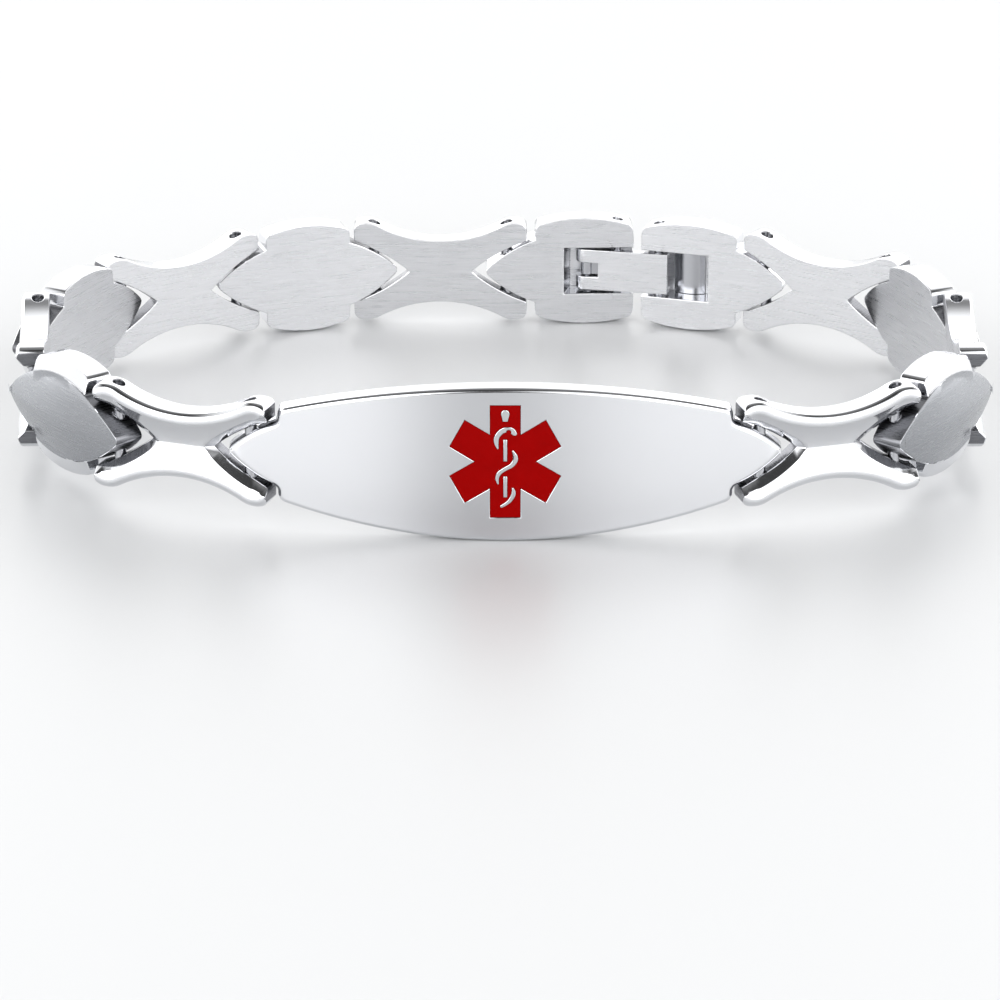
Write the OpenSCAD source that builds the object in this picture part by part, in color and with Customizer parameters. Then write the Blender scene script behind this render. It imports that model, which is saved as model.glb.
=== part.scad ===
// Medical alert bracelet of polished and brushed steel.
// A curved nameplate, seven cross links and five leaf links hang together on
// pins, and two clasp links carry a small folding clasp at the back.
// Every link is drawn lying flat: x along the chain, y across it, z out of its
// outer face, with z = 0 on the line of its pins. The links are then stood up
// round the loop, which leans on its plate and its clasp links as it rests.

/* [Chain] */
// Distance between the two pins of a cross link
cross_pitch = 11; // [10:0.5:13]
// Distance between the two pins of a leaf link
leaf_pitch = 12; // [11:0.5:14]
// Distance between the two pins of the nameplate
plate_pitch = 39; // [34:0.5:44]
// Distance from a clasp link's chain pin to its clasp pin
clasp_pitch = 9.3; // [8.8:0.1:11]
// Distance between the two clasp pins when the clasp is shut
clasp_span = 3.6; // [3.3:0.1:4.4]
// Diameter of the chain's pins
pin_d = 0.9; // [0.7:0.05:1]
// Room round a pin in its bore
pin_play = 0.04; // [0.03:0.01:0.08]
// How deep the ends of a pin lie in their holes
pin_recess = 0.2; // [0.05:0.05:0.4]
// Depth of the pins behind a link's inner face
pin_depth = 0.9; // [0.8:0.05:1.1]
// Thickness of a link along its edge
edge_t = 2.1; // [1.9:0.05:2.6]

/* [Cross link] */
// Height of a cross link at its waist
waist_h = 5.3; // [4.8:0.1:6]
// Radius of the hollow edge between two horns
hollow_r = 10.6; // [9.5:0.1:13]
// Radius of a horn's rounded back
horn_r = 2.2; // [1.9:0.05:2.4]
// How far a horn reaches past its pin
horn_reach = 1.7; // [1.4:0.05:2]
// Radius of a horn's corners
horn_corner_r = 0.4; // [0.2:0.05:0.5]
// Width of the raised round edge on the outer face
roll_w = 1.05; // [0.8:0.05:1.3]
// Height of the raised round edge
roll_rise = 0.4; // [0.2:0.05:0.5]
// How far the middle crease lies below the edges
crease_drop = 0.45; // [0.2:0.05:0.6]
// Room between a nose and the mouth of its notch
notch_gap = 0.2; // [0.15:0.05:0.4]
// Room between a nose's tip and the point of its notch
notch_tip_gap = 1; // [0.7:0.05:1.3]
// Bow of a notch's sides
notch_bow = 0.25; // [0.1:0.05:0.4]

/* [Leaf link] */
// Height of a leaf link at its middle
leaf_h = 9.2; // [8.6:0.1:10]
// Height of a leaf link at its shoulders
shoulder_h = 7.9; // [7.4:0.1:8.4]
// Room between a shoulder and the horn that faces it
shoulder_gap = 0.7; // [0.5:0.05:1]
// Radius of a shoulder's corners
shoulder_r = 0.4; // [0.2:0.05:0.6]
// How far a nose reaches past its pin
nose_reach = 1.9; // [1.6:0.05:2.2]
// Radius of a nose's tip
tip_r = 0.5; // [0.3:0.05:0.8]
// Height of the raised leaf at its middle
blade_h = 6.7; // [6.2:0.1:7.2]
// Width of the polished slope beside the leaf
slope_w = 1.1; // [0.8:0.05:1.3]
// Rise of the polished slope
slope_rise = 0.45; // [0.3:0.05:0.7]
// Step from the slope up to the leaf's edge
blade_step = 0.2; // [0.1:0.05:0.4]
// Height of the leaf's back over its edges
blade_rise = 0.5; // [0.3:0.05:0.7]
// How far the leaf's back falls from its middle to its tips
blade_fall = 0.9; // [0.7:0.05:1.1]
// Turn between the two halves of the back, which pinches it into a crease
crease_turn = 5; // [0:1:8]

/* [Nameplate] */
// Height of the nameplate at its middle
plate_h = 12.4; // [11:0.1:14]
// Height of the nameplate at its shoulders
plate_shoulder_h = 7.4; // [6.8:0.1:8.2]
// Thickness of the nameplate
plate_t = 1.6; // [1.5:0.05:2]
// Radius of the bend that follows the wrist
plate_bend_r = 70; // [55:1:90]
// Radius of the nameplate's shoulders
plate_corner_r = 0.5; // [0.2:0.05:0.6]

/* [Emblem] */
// Length of the three crossed bars
star_size = 8.5; // [7.6:0.1:9.5]
// Width of a bar
star_bar_w = 2.35; // [2.1:0.05:2.6]
// How much taller than regular the star is drawn
star_stretch = 1.07; // [1:0.01:1.1]
// How far the star sits above the nameplate's middle
star_rise = 0.3; // [0:0.05:0.5]
// Depth of the enamel
enamel_depth = 0.3; // [0.2:0.05:0.5]
// Room round the enamel
enamel_gap = 0.03; // [0.02:0.01:0.05]
// How far the enamel lies below the polished face
enamel_sink = 0.03; // [0:0.01:0.1]
// Width of the staff
staff_w = 0.28; // [0.2:0.02:0.4]
// Radius of the staff's knob
knob_r = 0.32; // [0.25:0.01:0.4]
// Radius of the snake's eye
eye_r = 0.2; // [0.12:0.01:0.24]

/* [Clasp] */
// How far a clasp link reaches past its clasp pin
clasp_reach = 1.3; // [1.1:0.05:1.35]
// Diameter of the clasp pins
clasp_pin_d = 0.8; // [0.6:0.05:0.9]
// Height of the pockets in the clasp links
pocket_h = 4; // [3.8:0.1:4.6]
// Length of the pockets
pocket_len = 5.8; // [5.6:0.1:6.4]
// Depth of the pockets from the inner face
pocket_depth = 2.25; // [2.2:0.05:2.35]
// Length of the sloped end of a pocket
pocket_slope = 0.6; // [0.3:0.05:0.8]
// Radius of a clasp link's free corners
clasp_corner_r = 0.8; // [0.4:0.05:1.1]
// Height of the folding lever
lever_h = 3.5; // [3.2:0.1:3.7]
// Thickness of the lever's plate
lever_t = 0.45; // [0.35:0.05:0.5]
// Depth of the lever's side walls
lever_wall = 0.65; // [0.6:0.05:0.7]
// Distance from the left clasp pin to the lever's hinge
hinge_offset = 2.5; // [2.3:0.05:2.6]
// How much deeper the hinge lies than the left clasp pin
hinge_drop = 0.3; // [0.2:0.05:0.35]
// Diameter of the hinge pin
hinge_pin_d = 0.5; // [0.4:0.05:0.55]
// Height of the middle knuckle
knuckle_h = 1; // [0.8:0.05:1.3]
// Diameter of the middle knuckle
knuckle_d = 1.1; // [1:0.05:1.2]
// Room round the middle knuckle
knuckle_gap = 0.12; // [0.08:0.01:0.2]
// Radius of the lever's forked end round its hinge
fork_r = 0.95; // [0.9:0.01:1]
// Reach of the lever past the right clasp pin
catch_reach = 0.85; // [0.8:0.05:0.95]
// Room between the lever's catch and the right clasp pin
catch_gap = 0.12; // [0.1:0.01:0.15]
// Thickness of the spring leaf
spring_t = 0.2; // [0.15:0.01:0.3]
// Rise of the spring leaf's bow
spring_rise = 0.45; // [0.3:0.05:0.6]

/* [Hidden] */
$fn = 64;
WIDE_FN = 128;

// How the loop lies: a row for each piece in turn round the loop, with its
// kind and the way it points, in degrees, seen from above.
KIND = 0;
HEADING = 1;
LOOP = [
    ["plate", 0], ["cross", 17.2], ["leaf", 57.2], ["cross", 91], ["leaf", 115],
    ["cross", 148.6], ["clasp", 162.6], ["span", 163.6], ["clasp", 181.6],
    ["cross", 180], ["leaf", 197.1], ["cross", 213.5], ["leaf", 240.2],
    ["cross", 272.4], ["leaf", 307.6], ["cross", 339.1],
];
// The clasp spans the gap between its two links.
CLASP_SPAN = [for (i = [0 : len(LOOP) - 1]) if (LOOP[i][KIND] == "span") i][0];
CLASP_RIGHT = CLASP_SPAN - 1;
CLASP_LEFT = CLASP_SPAN + 1;

function pitch(kind) =
    kind == "plate" ? plate_pitch :
    kind == "cross" ? cross_pitch :
    kind == "leaf" ? leaf_pitch :
    kind == "clasp" ? clasp_pitch : clasp_span;
SPANS = [for (row = LOOP) pitch(row[KIND])];
cross_places = [for (i = [0 : len(LOOP) - 1]) if (LOOP[i][KIND] == "cross") i];
leaf_places = [for (i = [0 : len(LOOP) - 1]) if (LOOP[i][KIND] == "leaf") i];

// A chain pin joins piece i to the piece before it, but not inside the clasp.
pin_places = [for (i = [1 : len(LOOP)]) if (i != CLASP_SPAN && i != CLASP_LEFT) i];

// Turning every piece a little closes the loop exactly: u and v give the
// smallest turns that bring the last pin back to the first.
function total(v, i = 0) = i == len(v) ? 0 : v[i] + total(v, i + 1);
function closed(h, tries) = tries == 0 ? [for (a = h) a - h[0]] : let (
    n = len(h) - 1,
    gx = total([for (i = [0 : n]) SPANS[i] * cos(h[i])]),
    gy = total([for (i = [0 : n]) SPANS[i] * sin(h[i])]),
    xx = total([for (i = [0 : n]) SPANS[i] * cos(h[i]) ^ 2]),
    yy = total([for (i = [0 : n]) SPANS[i] * sin(h[i]) ^ 2]),
    xy = total([for (i = [0 : n]) SPANS[i] * sin(h[i]) * cos(h[i])]),
    det = xx * yy - xy ^ 2,
    u = -(xy * gx + yy * gy) / det,
    v = (xy * gy + xx * gx) / det
) closed([for (a = h) a + (u * cos(a) + v * sin(a)) * 180 / PI], tries - 1);
headings = closed([for (row = LOOP) row[HEADING]], 8);
function along(a) = [cos(a), sin(a)];
function pin_at(i) = i == 0 ? [-plate_pitch / 2, 0] :
    pin_at(i - 1) + SPANS[i - 1] * along(headings[i - 1]);
pins = [for (i = [0 : len(LOOP)]) pin_at(i)];

// The middle of piece i, moved out of its outer face by z
function middle(i, z) = (pins[i] + pins[i + 1]) / 2 + z * along(headings[i] - 90);

// Levels of the faces, measured outwards from the line of the pins
inner_z = -pin_depth;
edge_z = edge_t - pin_depth;
slope_z = edge_z + slope_rise;
top_z = slope_z + blade_step + blade_rise;

// The blade's outline is two arcs that meet in rounded tips. Its ends are the
// noses that turn in the cross links.
blade_len = leaf_pitch + 2 * nose_reach;
blade_r = (blade_len ^ 2 + blade_h ^ 2) / (4 * blade_h);
blade_arc_y = blade_h / 2 - blade_r;
tip_x = sqrt((blade_r - tip_r) ^ 2 - blade_arc_y ^ 2);
tip_join_x = tip_x * blade_r / (blade_r - tip_r);
nose_len = tip_x + tip_r - leaf_pitch / 2;
function blade_y(x) =
    x < tip_join_x ? blade_arc_y + sqrt(blade_r ^ 2 - x ^ 2)
    : sqrt(max(0, tip_r ^ 2 - (x - tip_x) ^ 2));
// Half height of a nose at a distance from its pin towards the body
function nose_y(s) = blade_y(leaf_pitch / 2 - s);

shoulder_s = horn_reach + shoulder_gap;
nose_root_r = shoulder_gap / 2;
leaf_body = leaf_pitch - 2 * shoulder_s;
clasp_body = clasp_pitch + clasp_reach - shoulder_s;
body_rise = (leaf_h - shoulder_h) / 2;
function body_r(length) = (length ^ 2 / 4 + body_rise ^ 2) / (2 * body_rise);

// The back of the blade is a round bar bent into a ring.
back_r = (blade_h ^ 2 / 4 + blade_rise ^ 2) / (2 * blade_rise);
arch_r = (blade_len ^ 2 / 4 + blade_fall ^ 2) / (2 * blade_fall);

// A horn's hollow edge turns into its rounded back just before its pin. The
// backs lap a hair over the hollow edge, to join it.
SEAM_BEFORE_PIN = 0.4;
SEAM_LAP = 0.2;
horn_turn = asin((cross_pitch / 2 - SEAM_BEFORE_PIN) / hollow_r);
hollow_y = waist_h / 2 + hollow_r;
back_x = (hollow_r + horn_r) * sin(horn_turn);
back_y = hollow_y - (hollow_r + horn_r) * cos(horn_turn);
horn_end_x = cross_pitch / 2 + horn_reach;
function horn_y(x) = back_y + sqrt(horn_r ^ 2 - (x - back_x) ^ 2);
horn_end_slope = (horn_end_x - back_x) / (horn_y(horn_end_x) - back_y);
mouth_y = nose_y(horn_reach) + notch_gap;
mouth_r = notch_gap;
notch_x = cross_pitch / 2 - nose_reach - notch_tip_gap;

// The lever lies on a line from the right clasp pin to its hinge.
pocket_z = inner_z + pocket_depth;
hinge_at = pins[CLASP_LEFT] + hinge_offset * along(headings[CLASP_LEFT])
    + hinge_drop * along(headings[CLASP_LEFT] - 90);
lever_line = hinge_at - pins[CLASP_SPAN];
lever_len = norm(lever_line);
lever_heading = atan2(lever_line[1], lever_line[0]);
prong_gap = knuckle_h / 2 + knuckle_gap;
// The block fills the room between the lever's plate and the left clasp pin.
left_pin_z = (pins[CLASP_LEFT] - hinge_at) * along(lever_heading - 90);
block_r = left_pin_z - inner_z - lever_t - knuckle_gap;
block_h = lever_h - 2 * lever_t - 4 * knuckle_gap;

// The loop leans: its front stands on the plate, its back on the clasp links.
bend_z = -sqrt(plate_bend_r ^ 2 - (plate_pitch / 2) ^ 2);
plate_top_z = bend_z + plate_bend_r + plate_t / 2;
front_foot_y = plate_t - plate_top_z;
back_foot_y = max(middle(CLASP_RIGHT, edge_z)[1], middle(CLASP_LEFT, edge_z)[1]);
lean = atan((plate_h - leaf_h) / 2 / (back_foot_y - front_foot_y));
lift = plate_h / 2 * cos(lean) + front_foot_y * sin(lean);
horn_ends = [for (i = cross_places, way = [-1, 1])
    middle(i, edge_z + roll_rise) + way * horn_end_x * along(headings[i])];
centre_x = (max([for (p = horn_ends) p[0]]) + min([for (p = horn_ends) p[0]])) / 2;
centre_y = (back_foot_y - edge_z + top_z - plate_top_z) / 2;

// The snake shows as three ribbons: a row for each point along its middle,
// with the ribbon's width there. The staff shows between and below them. All
// are drawn in hundredths of the star's size.
X = 0;
Y = 1;
WIDTH = 2;
figure_step = star_size / 100;
function figure_y(y) = star_rise + star_stretch * figure_step * y;
function drawn(rows) = [for (p = rows) [figure_step * p[X], figure_y(p[Y]), figure_step * p[WIDTH]]];
SNAKE_HEAD = drawn([[10.35, 24.47, 1.88], [8.24, 25.18, 4.47], [4.71, 28.24, 4.94],
    [-2.35, 27.41, 4.71], [-7.29, 22.35, 4.47], [-8, 17.06, 4], [-6.59, 11.18, 1.18]]);
SNAKE_BODY = drawn([[6.59, 9.88, 1.41], [9.41, 2.94, 4.24], [5.88, -3.18, 4],
    [0, -6.47, 3.53], [-5.41, -10.35, 3.76], [-7.29, -15.06, 3.06], [-6.35, -20.24, 1.18]]);
SNAKE_TAIL = drawn([[6.59, -23.29, 1.41], [7.53, -28.47, 3.76], [3.53, -35.53, 3.29],
    [-4.24, -40.47, 2.35]]);
EYE = [3.06 * figure_step, figure_y(26.12)];
STAFF_ENDS = [[figure_y(19.53), figure_y(0.24)], [figure_y(-13.18), figure_y(-31.76)]];
KNOB_Y = figure_y(42.35);
KNOB_NECK = figure_step * 7.29;

// Small helpers for outlines, whose points are [x, y, corner radius]
function unit(v) = v / norm(v);
function flipped(points, fx, fy) = [for (p = points) [p[0] * fx, p[1] * fy, p[2]]];
function reversed(points) = [for (i = [len(points) - 1 : -1 : 0]) points[i]];
function part(points, first, last) = [for (i = [first : last]) points[i]];
function wrapped(a) = a > 180 ? a - 360 : a < -180 ? a + 360 : a;
// The arc that replaces the corner p between a and b
function corner(a, p, b, r, n = 5) = let (
    u = unit(a - p), v = unit(b - p), half = acos(u * v) / 2,
    c = p + unit(u + v) * r / sin(half),
    p0 = p + u * r / tan(half) - c, p1 = p + v * r / tan(half) - c,
    a0 = atan2(p0[1], p0[0]), turn = wrapped(atan2(p1[1], p1[0]) - a0)
) [for (i = [0 : n]) c + r * along(a0 + turn * i / n)];
function softened(points) = let (n = len(points)) [
    for (i = [0 : n - 1]) let (
        p = [points[i][0], points[i][1]],
        before = points[(i + n - 1) % n], after = points[(i + 1) % n]
    ) each points[i][2] > 0
        ? corner([before[0], before[1]], p, [after[0], after[1]], points[i][2])
        : [p]
];
// An arc from p to q that bows out by sag to its right
function bowed(p, q, sag, n = 6) = let (
    half = norm(q - p) / 2, r = (half ^ 2 + sag ^ 2) / (2 * sag),
    out = [q[1] - p[1], p[0] - q[0]] / (2 * half),
    c = (p + q) / 2 - out * (r - sag), spread = asin(half / r),
    mid = atan2(out[1], out[0])
) [for (i = [0 : n]) let (e = c + r * along(mid + spread * (2 * i / n - 1))) [e[0], e[1], 0]];

// Stands a flat piece up on the loop: at a point, or at the middle of piece i
module stood(at, heading) {
    translate([-centre_x, -centre_y, lift])
    rotate([-lean, 0, 0])
    translate([at[0], at[1], 0])
    rotate([0, 0, heading])
    rotate([90, 0, 0])
    children();
}
module on_link(i) {
    stood(middle(i, 0), headings[i]) children();
}

// Small helpers for solids
module slab(z0, z1) {
    translate([0, 0, z0])
    linear_extrude(z1 - z0)
    children();
}
module outline(points) {
    polygon([for (p = points) [p[0], p[1]]]);
}
module upright(x, d, h, z = 0) {
    translate([x, 0, z])
    rotate([90, 0, 0])
    cylinder(d = d, h = h, center = true);
}
module bore(x, d, z = 0) {
    upright(x, d + 2 * pin_play, 4 * leaf_h, z);
}

// Section of a cross link from its hollow edge inwards: depth from the edge
// and height over the pins
function roll_arc(n = 6) = let (
    r = (roll_w ^ 2 / 4 + roll_rise ^ 2) / (2 * roll_rise),
    spread = asin(roll_w / 2 / r)
) [for (i = [0 : n]) let (a = spread * (2 * i / n - 1))
    [roll_w / 2 + r * sin(a), edge_z + roll_rise - r + r * cos(a)]];
function cross_section(depth) = let (fall = crease_drop / (waist_h / 2 - roll_w))
    concat([[0, inner_z]], roll_arc(),
        [[depth, edge_z - fall * (depth - roll_w)], [depth, inner_z]]);

// Outline of a cross link's upper half: one side of each notch, the ends of
// the horns, and a cover wide of the horns' backs
function cross_half_outline() = let (
    notch = bowed([notch_x, 0], [horn_end_x, mouth_y], -notch_bow),
    cover = 2 * horn_r,
    right = concat(
        part(notch, 0, len(notch) - 2),
        [[horn_end_x, mouth_y, mouth_r]],
        [[horn_end_x, horn_y(horn_end_x), horn_corner_r]],
        [[horn_end_x - cover, horn_y(horn_end_x) + cover * horn_end_slope, 0]]
    )
) softened(concat(right, reversed(flipped(right, -1, 1))));

module cross_half() {
    intersection() {
        slab(inner_z - 1, top_z) outline(cross_half_outline());
        union() {
            translate([0, hollow_y, 0])
            rotate([0, 0, 270 - horn_turn])
            rotate_extrude(angle = 2 * horn_turn, $fn = WIDE_FN)
            polygon([for (p = cross_section(waist_h / 2 + 1)) [hollow_r + p[0], p[1]]]);
            for (side = [0, 1])
            mirror([side, 0, 0])
            translate([back_x, back_y, 0])
            rotate([0, 0, -90])
            rotate_extrude(angle = 180 + horn_turn + SEAM_LAP)
            polygon([for (p = cross_section(horn_r)) [horn_r - p[0], p[1]]]);
        }
    }
}
module cross_link() {
    color("gainsboro")
    difference() {
        for (side = [0, 1]) mirror([0, side, 0]) cross_half();
        for (side = [-1, 1]) bore(side * cross_pitch / 2, pin_d);
    }
}

// A nose's upper edge from its root to its tip, with its pin at x = 0
function nose_points(n = 10) = [
    for (i = [0 : n]) let (s = shoulder_s - (shoulder_s + nose_len) * sin(90 * i / n))
    [s, nose_y(s), 0]
];
function blade_points() = let (
    root = nose_y(shoulder_s),
    end = [for (p = nose_points()) [leaf_pitch / 2 - p[0], p[1], 0]],
    side = bowed([leaf_body / 2, root], [-leaf_body / 2, root], blade_h / 2 - root, 8),
    upper = concat(reversed(end), part(side, 1, len(side) - 2), flipped(end, -1, 1))
) concat(upper, part(reversed(flipped(upper, 1, -1)), 1, len(upper) - 2));

module blade_back(turn) {
    spread = 2 * asin((blade_len / 2 + 2) / arch_r);
    half_w = blade_h / 2 + 1.5;
    core_r = arch_r - 2 * top_z;
    translate([-blade_len / 4, 0, top_z - arch_r])
    rotate([0, 0, turn])
    translate([blade_len / 4, 0, 0])
    rotate([90, 0, 0])
    rotate([0, 0, 90 - spread / 2])
    rotate_extrude(angle = spread, $fn = WIDE_FN)
    polygon(concat([[core_r, -half_w]],
        [for (i = [-8 : 8]) let (w = i / 8 * half_w)
            [arch_r - back_r + sqrt(back_r ^ 2 - w ^ 2), w]],
        [[core_r, half_w]]));
}
module blade() {
    intersection() {
        slab(inner_z, top_z + 1) outline(blade_points());
        blade_back(crease_turn);
        blade_back(-crease_turn);
    }
}

// Body between two ends, whose long edges are bowed and slope up to the blade
module bowed_edge(r) {
    translate([0, leaf_h / 2 - r, 0])
    rotate_extrude($fn = WIDE_FN)
    polygon([[0, inner_z], [r, inner_z], [r, edge_z], [r - slope_w, slope_z], [0, slope_z]]);
}
module body(length, left_r, right_r) {
    x = length / 2;
    r = body_r(length);
    peak = shoulder_h / 2 + x ^ 2 / sqrt(r ^ 2 - x ^ 2);
    upper = [[x, shoulder_h / 2, right_r], [0, peak, 0], [-x, shoulder_h / 2, left_r]];
    intersection() {
        slab(inner_z - 1, slope_z + 1)
        outline(softened(concat(upper, reversed(flipped(upper, 1, -1)))));
        bowed_edge(r);
        mirror([0, 1, 0]) bowed_edge(r);
    }
}
module leaf_link() {
    color("silver")
    difference() {
        union() {
            body(leaf_body, shoulder_r, shoulder_r);
            blade();
        }
        for (side = [-1, 1]) bore(side * leaf_pitch / 2, pin_d);
    }
}

// Nameplate
function plate_outline() = let (
    end = reversed([for (p = nose_points()) [plate_pitch / 2 - p[0], p[1], 0]]),
    side_x = plate_pitch / 2 - shoulder_s,
    side_y = plate_shoulder_h / 2,
    side = bowed([side_x, side_y], [-side_x, side_y], plate_h / 2 - side_y, 20),
    right = concat(
        part(end, 0, len(end) - 2),
        [[side_x, nose_y(shoulder_s), nose_root_r]],
        [[side_x, side_y, plate_corner_r]]
    ),
    upper = concat(right, part(side, 1, len(side) - 2), reversed(flipped(right, -1, 1)))
) softened(concat(upper, part(reversed(flipped(upper, 1, -1)), 1, len(upper) - 2)));

module bend(r) {
    upright(0, 2 * r, 2 * plate_h, bend_z);
}
module bent(r0, r1) {
    intersection() {
        slab(inner_z - 1, plate_top_z + 1) children();
        difference() {
            bend(r1);
            bend(r0);
        }
    }
}

// A line through rows of numbers, drawn smooth between its rows
function smooth(rows, n = 3) = let (last = len(rows) - 1) [
    for (i = [0 : last - 1], k = [0 : n - 1]) let (
        t = k / n, a = rows[max(0, i - 1)], b = rows[i], c = rows[i + 1], d = rows[min(last, i + 2)]
    ) b + (c - a) * t / 2 + (2 * a - 5 * b + 4 * c - d) * t ^ 2 / 2
        + (3 * (b - c) + d - a) * t ^ 3 / 2,
    rows[last]
];
function side_way(rows, i) = let (
    a = rows[max(0, i - 1)], b = rows[min(len(rows) - 1, i + 1)]
) unit([a[Y] - b[Y], b[X] - a[X]]);
function ribbon_side(line, s, grow) = [for (i = [0 : len(line) - 1])
    [line[i][X], line[i][Y]] + s * (line[i][WIDTH] / 2 + grow) * side_way(line, i)];
module ribbon(line, grow) {
    polygon(concat(ribbon_side(line, 1, grow), reversed(ribbon_side(line, -1, grow))));
}
module figure(z0, z1, grow) {
    for (rows = [SNAKE_BODY, SNAKE_TAIL]) slab(z0, z1) ribbon(smooth(rows), grow);
    difference() {
        slab(z0, z1) ribbon(smooth(SNAKE_HEAD), grow);
        translate([EYE[X], EYE[Y], z0 - 1])
        cylinder(r = eye_r - grow, h = z1 - z0 + 2);
    }
    for (ends = STAFF_ENDS)
    translate([-staff_w / 2 - grow, ends[1] - grow, z0])
    cube([staff_w + 2 * grow, ends[0] - ends[1] + 2 * grow, z1 - z0]);
    translate([0, KNOB_Y, z0])
    cylinder(r = knob_r + grow, h = z1 - z0);
    slab(z0, z1)
    polygon([for (q = [[-1, 0], [-1, 1], [1, 1], [1, 0]]) [
        q[0] * ((q[1] == 0 ? knob_r : staff_w * 0.65) + grow),
        KNOB_Y - q[1] * (KNOB_NECK + grow)
    ]]);
}
module star(z0, z1, shrink) {
    for (turn = [0 : 60 : 120])
    slab(z0, z1)
    polygon([for (q = [[-1, -1], [1, -1], [1, 1], [-1, 1]]) let (
        x = q[0] * (star_bar_w / 2 - shrink),
        y = q[1] * (star_size / 2 - shrink)
    ) [
        x * cos(turn) - y * sin(turn),
        star_rise + star_stretch * (x * sin(turn) + y * cos(turn))
    ]]);
}
star_z0 = plate_top_z - 2 * enamel_depth;
star_z1 = plate_top_z + 1;

module id_plate() {
    color("gainsboro")
    difference() {
        bent(plate_bend_r - plate_t / 2, plate_bend_r + plate_t / 2) outline(plate_outline());
        difference() {
            star(star_z0, star_z1, 0);
            figure(star_z0 - 1, star_z1 + 1, 0);
            bend(plate_bend_r + plate_t / 2 - enamel_depth);
        }
        for (side = [-1, 1]) bore(side * plate_pitch / 2, pin_d);
    }
}
module star_enamel() {
    color("red")
    difference() {
        intersection() {
            star(star_z0, star_z1, enamel_gap);
            bend(plate_bend_r + plate_t / 2 - enamel_sink);
        }
        figure(star_z0 - 1, star_z1 + 1, enamel_gap);
        bend(plate_bend_r + plate_t / 2 - enamel_depth + enamel_gap);
    }
}

// Clasp link, with its chain pin at the left and its free end at the right.
// Its pocket is open to the inside and at the free end.
free_x = clasp_pitch / 2 + clasp_reach;
body_x = free_x - clasp_body / 2;
module pocket() {
    end_x = free_x - pocket_len;
    rotate([-90, 0, 0])
    translate([0, 0, -pocket_h / 2])
    linear_extrude(pocket_h)
    outline([
        [end_x, -inner_z + 1], [end_x, -inner_z],
        [end_x + pocket_slope, -pocket_z], [free_x + 1, -pocket_z], [free_x + 1, -inner_z + 1],
    ]);
}
module clasp_link() {
    color("silver")
    difference() {
        union() {
            translate([body_x, 0, 0]) body(clasp_body, shoulder_r, clasp_corner_r);
            intersection() {
                translate([(leaf_pitch - clasp_pitch) / 2, 0, 0]) blade();
                translate([free_x - 2 * leaf_pitch, -leaf_h, -leaf_h])
                cube([2 * leaf_pitch, 2 * leaf_h, 2 * leaf_h]);
            }
        }
        pocket();
        bore(-clasp_pitch / 2, pin_d);
        bore(clasp_pitch / 2, clasp_pin_d);
    }
}

// Pins, whose ends lie a little deep in their holes
module pin(i) {
    color("darkgray")
    stood(pins[i], 0)
    upright(0, pin_d, 2 * (horn_y(cross_pitch / 2) - pin_recess));
}
module clasp_pin(i) {
    off = clasp_pitch / 2 - body_x;
    r = body_r(clasp_body);
    half_h = leaf_h / 2 - r + sqrt(r ^ 2 - off ^ 2);
    color("darkgray")
    stood(pins[i], 0)
    upright(0, clasp_pin_d, 2 * (half_h - pin_recess));
}

// Hinge block on the left clasp pin at x = 0, drawn along the left clasp link.
// Its middle knuckle turns in the lever's fork.
module clasp_hinge() {
    arm_t = 0.7 * knuckle_d;
    arm_turn = atan(hinge_drop / hinge_offset);
    color("darkgray")
    difference() {
        union() {
            upright(hinge_offset, knuckle_d, knuckle_h, hinge_drop);
            upright(0, 2 * block_r, block_h);
            rotate([0, -arm_turn, 0])
            translate([0, -knuckle_h / 2, -arm_t / 2])
            cube([hinge_offset / cos(arm_turn), knuckle_h, arm_t]);
        }
        bore(0, clasp_pin_d);
        bore(hinge_offset, hinge_pin_d, hinge_drop);
    }
}
module clasp_hinge_pin() {
    color("darkgray")
    upright(0, hinge_pin_d, lever_h - 2 * pin_play);
}

// Folding lever: its hinge at x = 0, its catch on the right clasp pin at
// x = -lever_len. Between its ends the side walls are low, to pass the left pin.
module lever_bar(x0, x1, z1) {
    translate([x0, -lever_h / 2, inner_z])
    cube([x1 - x0, lever_h, z1 - inner_z]);
}
module clasp_lever() {
    catch_r = clasp_pin_d / 2 + catch_gap;
    catch_x = -lever_len;
    inside_h = lever_h - 2 * lever_t;
    color("lightgray")
    difference() {
        union() {
            difference() {
                union() {
                    lever_bar(catch_x - catch_reach, 0, inner_z + lever_wall);
                    lever_bar(catch_x - catch_reach, catch_x + catch_reach, catch_r);
                }
                translate([catch_x - 2 * catch_reach, -inside_h / 2, inner_z + lever_t])
                cube([lever_len + 2 * catch_reach - fork_r, inside_h, 2 * pocket_depth]);
            }
            intersection() {
                upright(0, 2 * fork_r, lever_h);
                lever_bar(-fork_r, fork_r, 2 * fork_r);
            }
        }
        translate([-fork_r - knuckle_gap, -prong_gap, -2 * fork_r])
        cube([4 * fork_r, 2 * prong_gap, 4 * fork_r]);
        upright(catch_x, 2 * catch_r, 2 * lever_h);
        translate([catch_x - catch_r, -lever_h, 0])
        cube([2 * catch_r, 2 * lever_h, 2 * catch_r]);
        bore(0, hinge_pin_d);
    }
}

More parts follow.
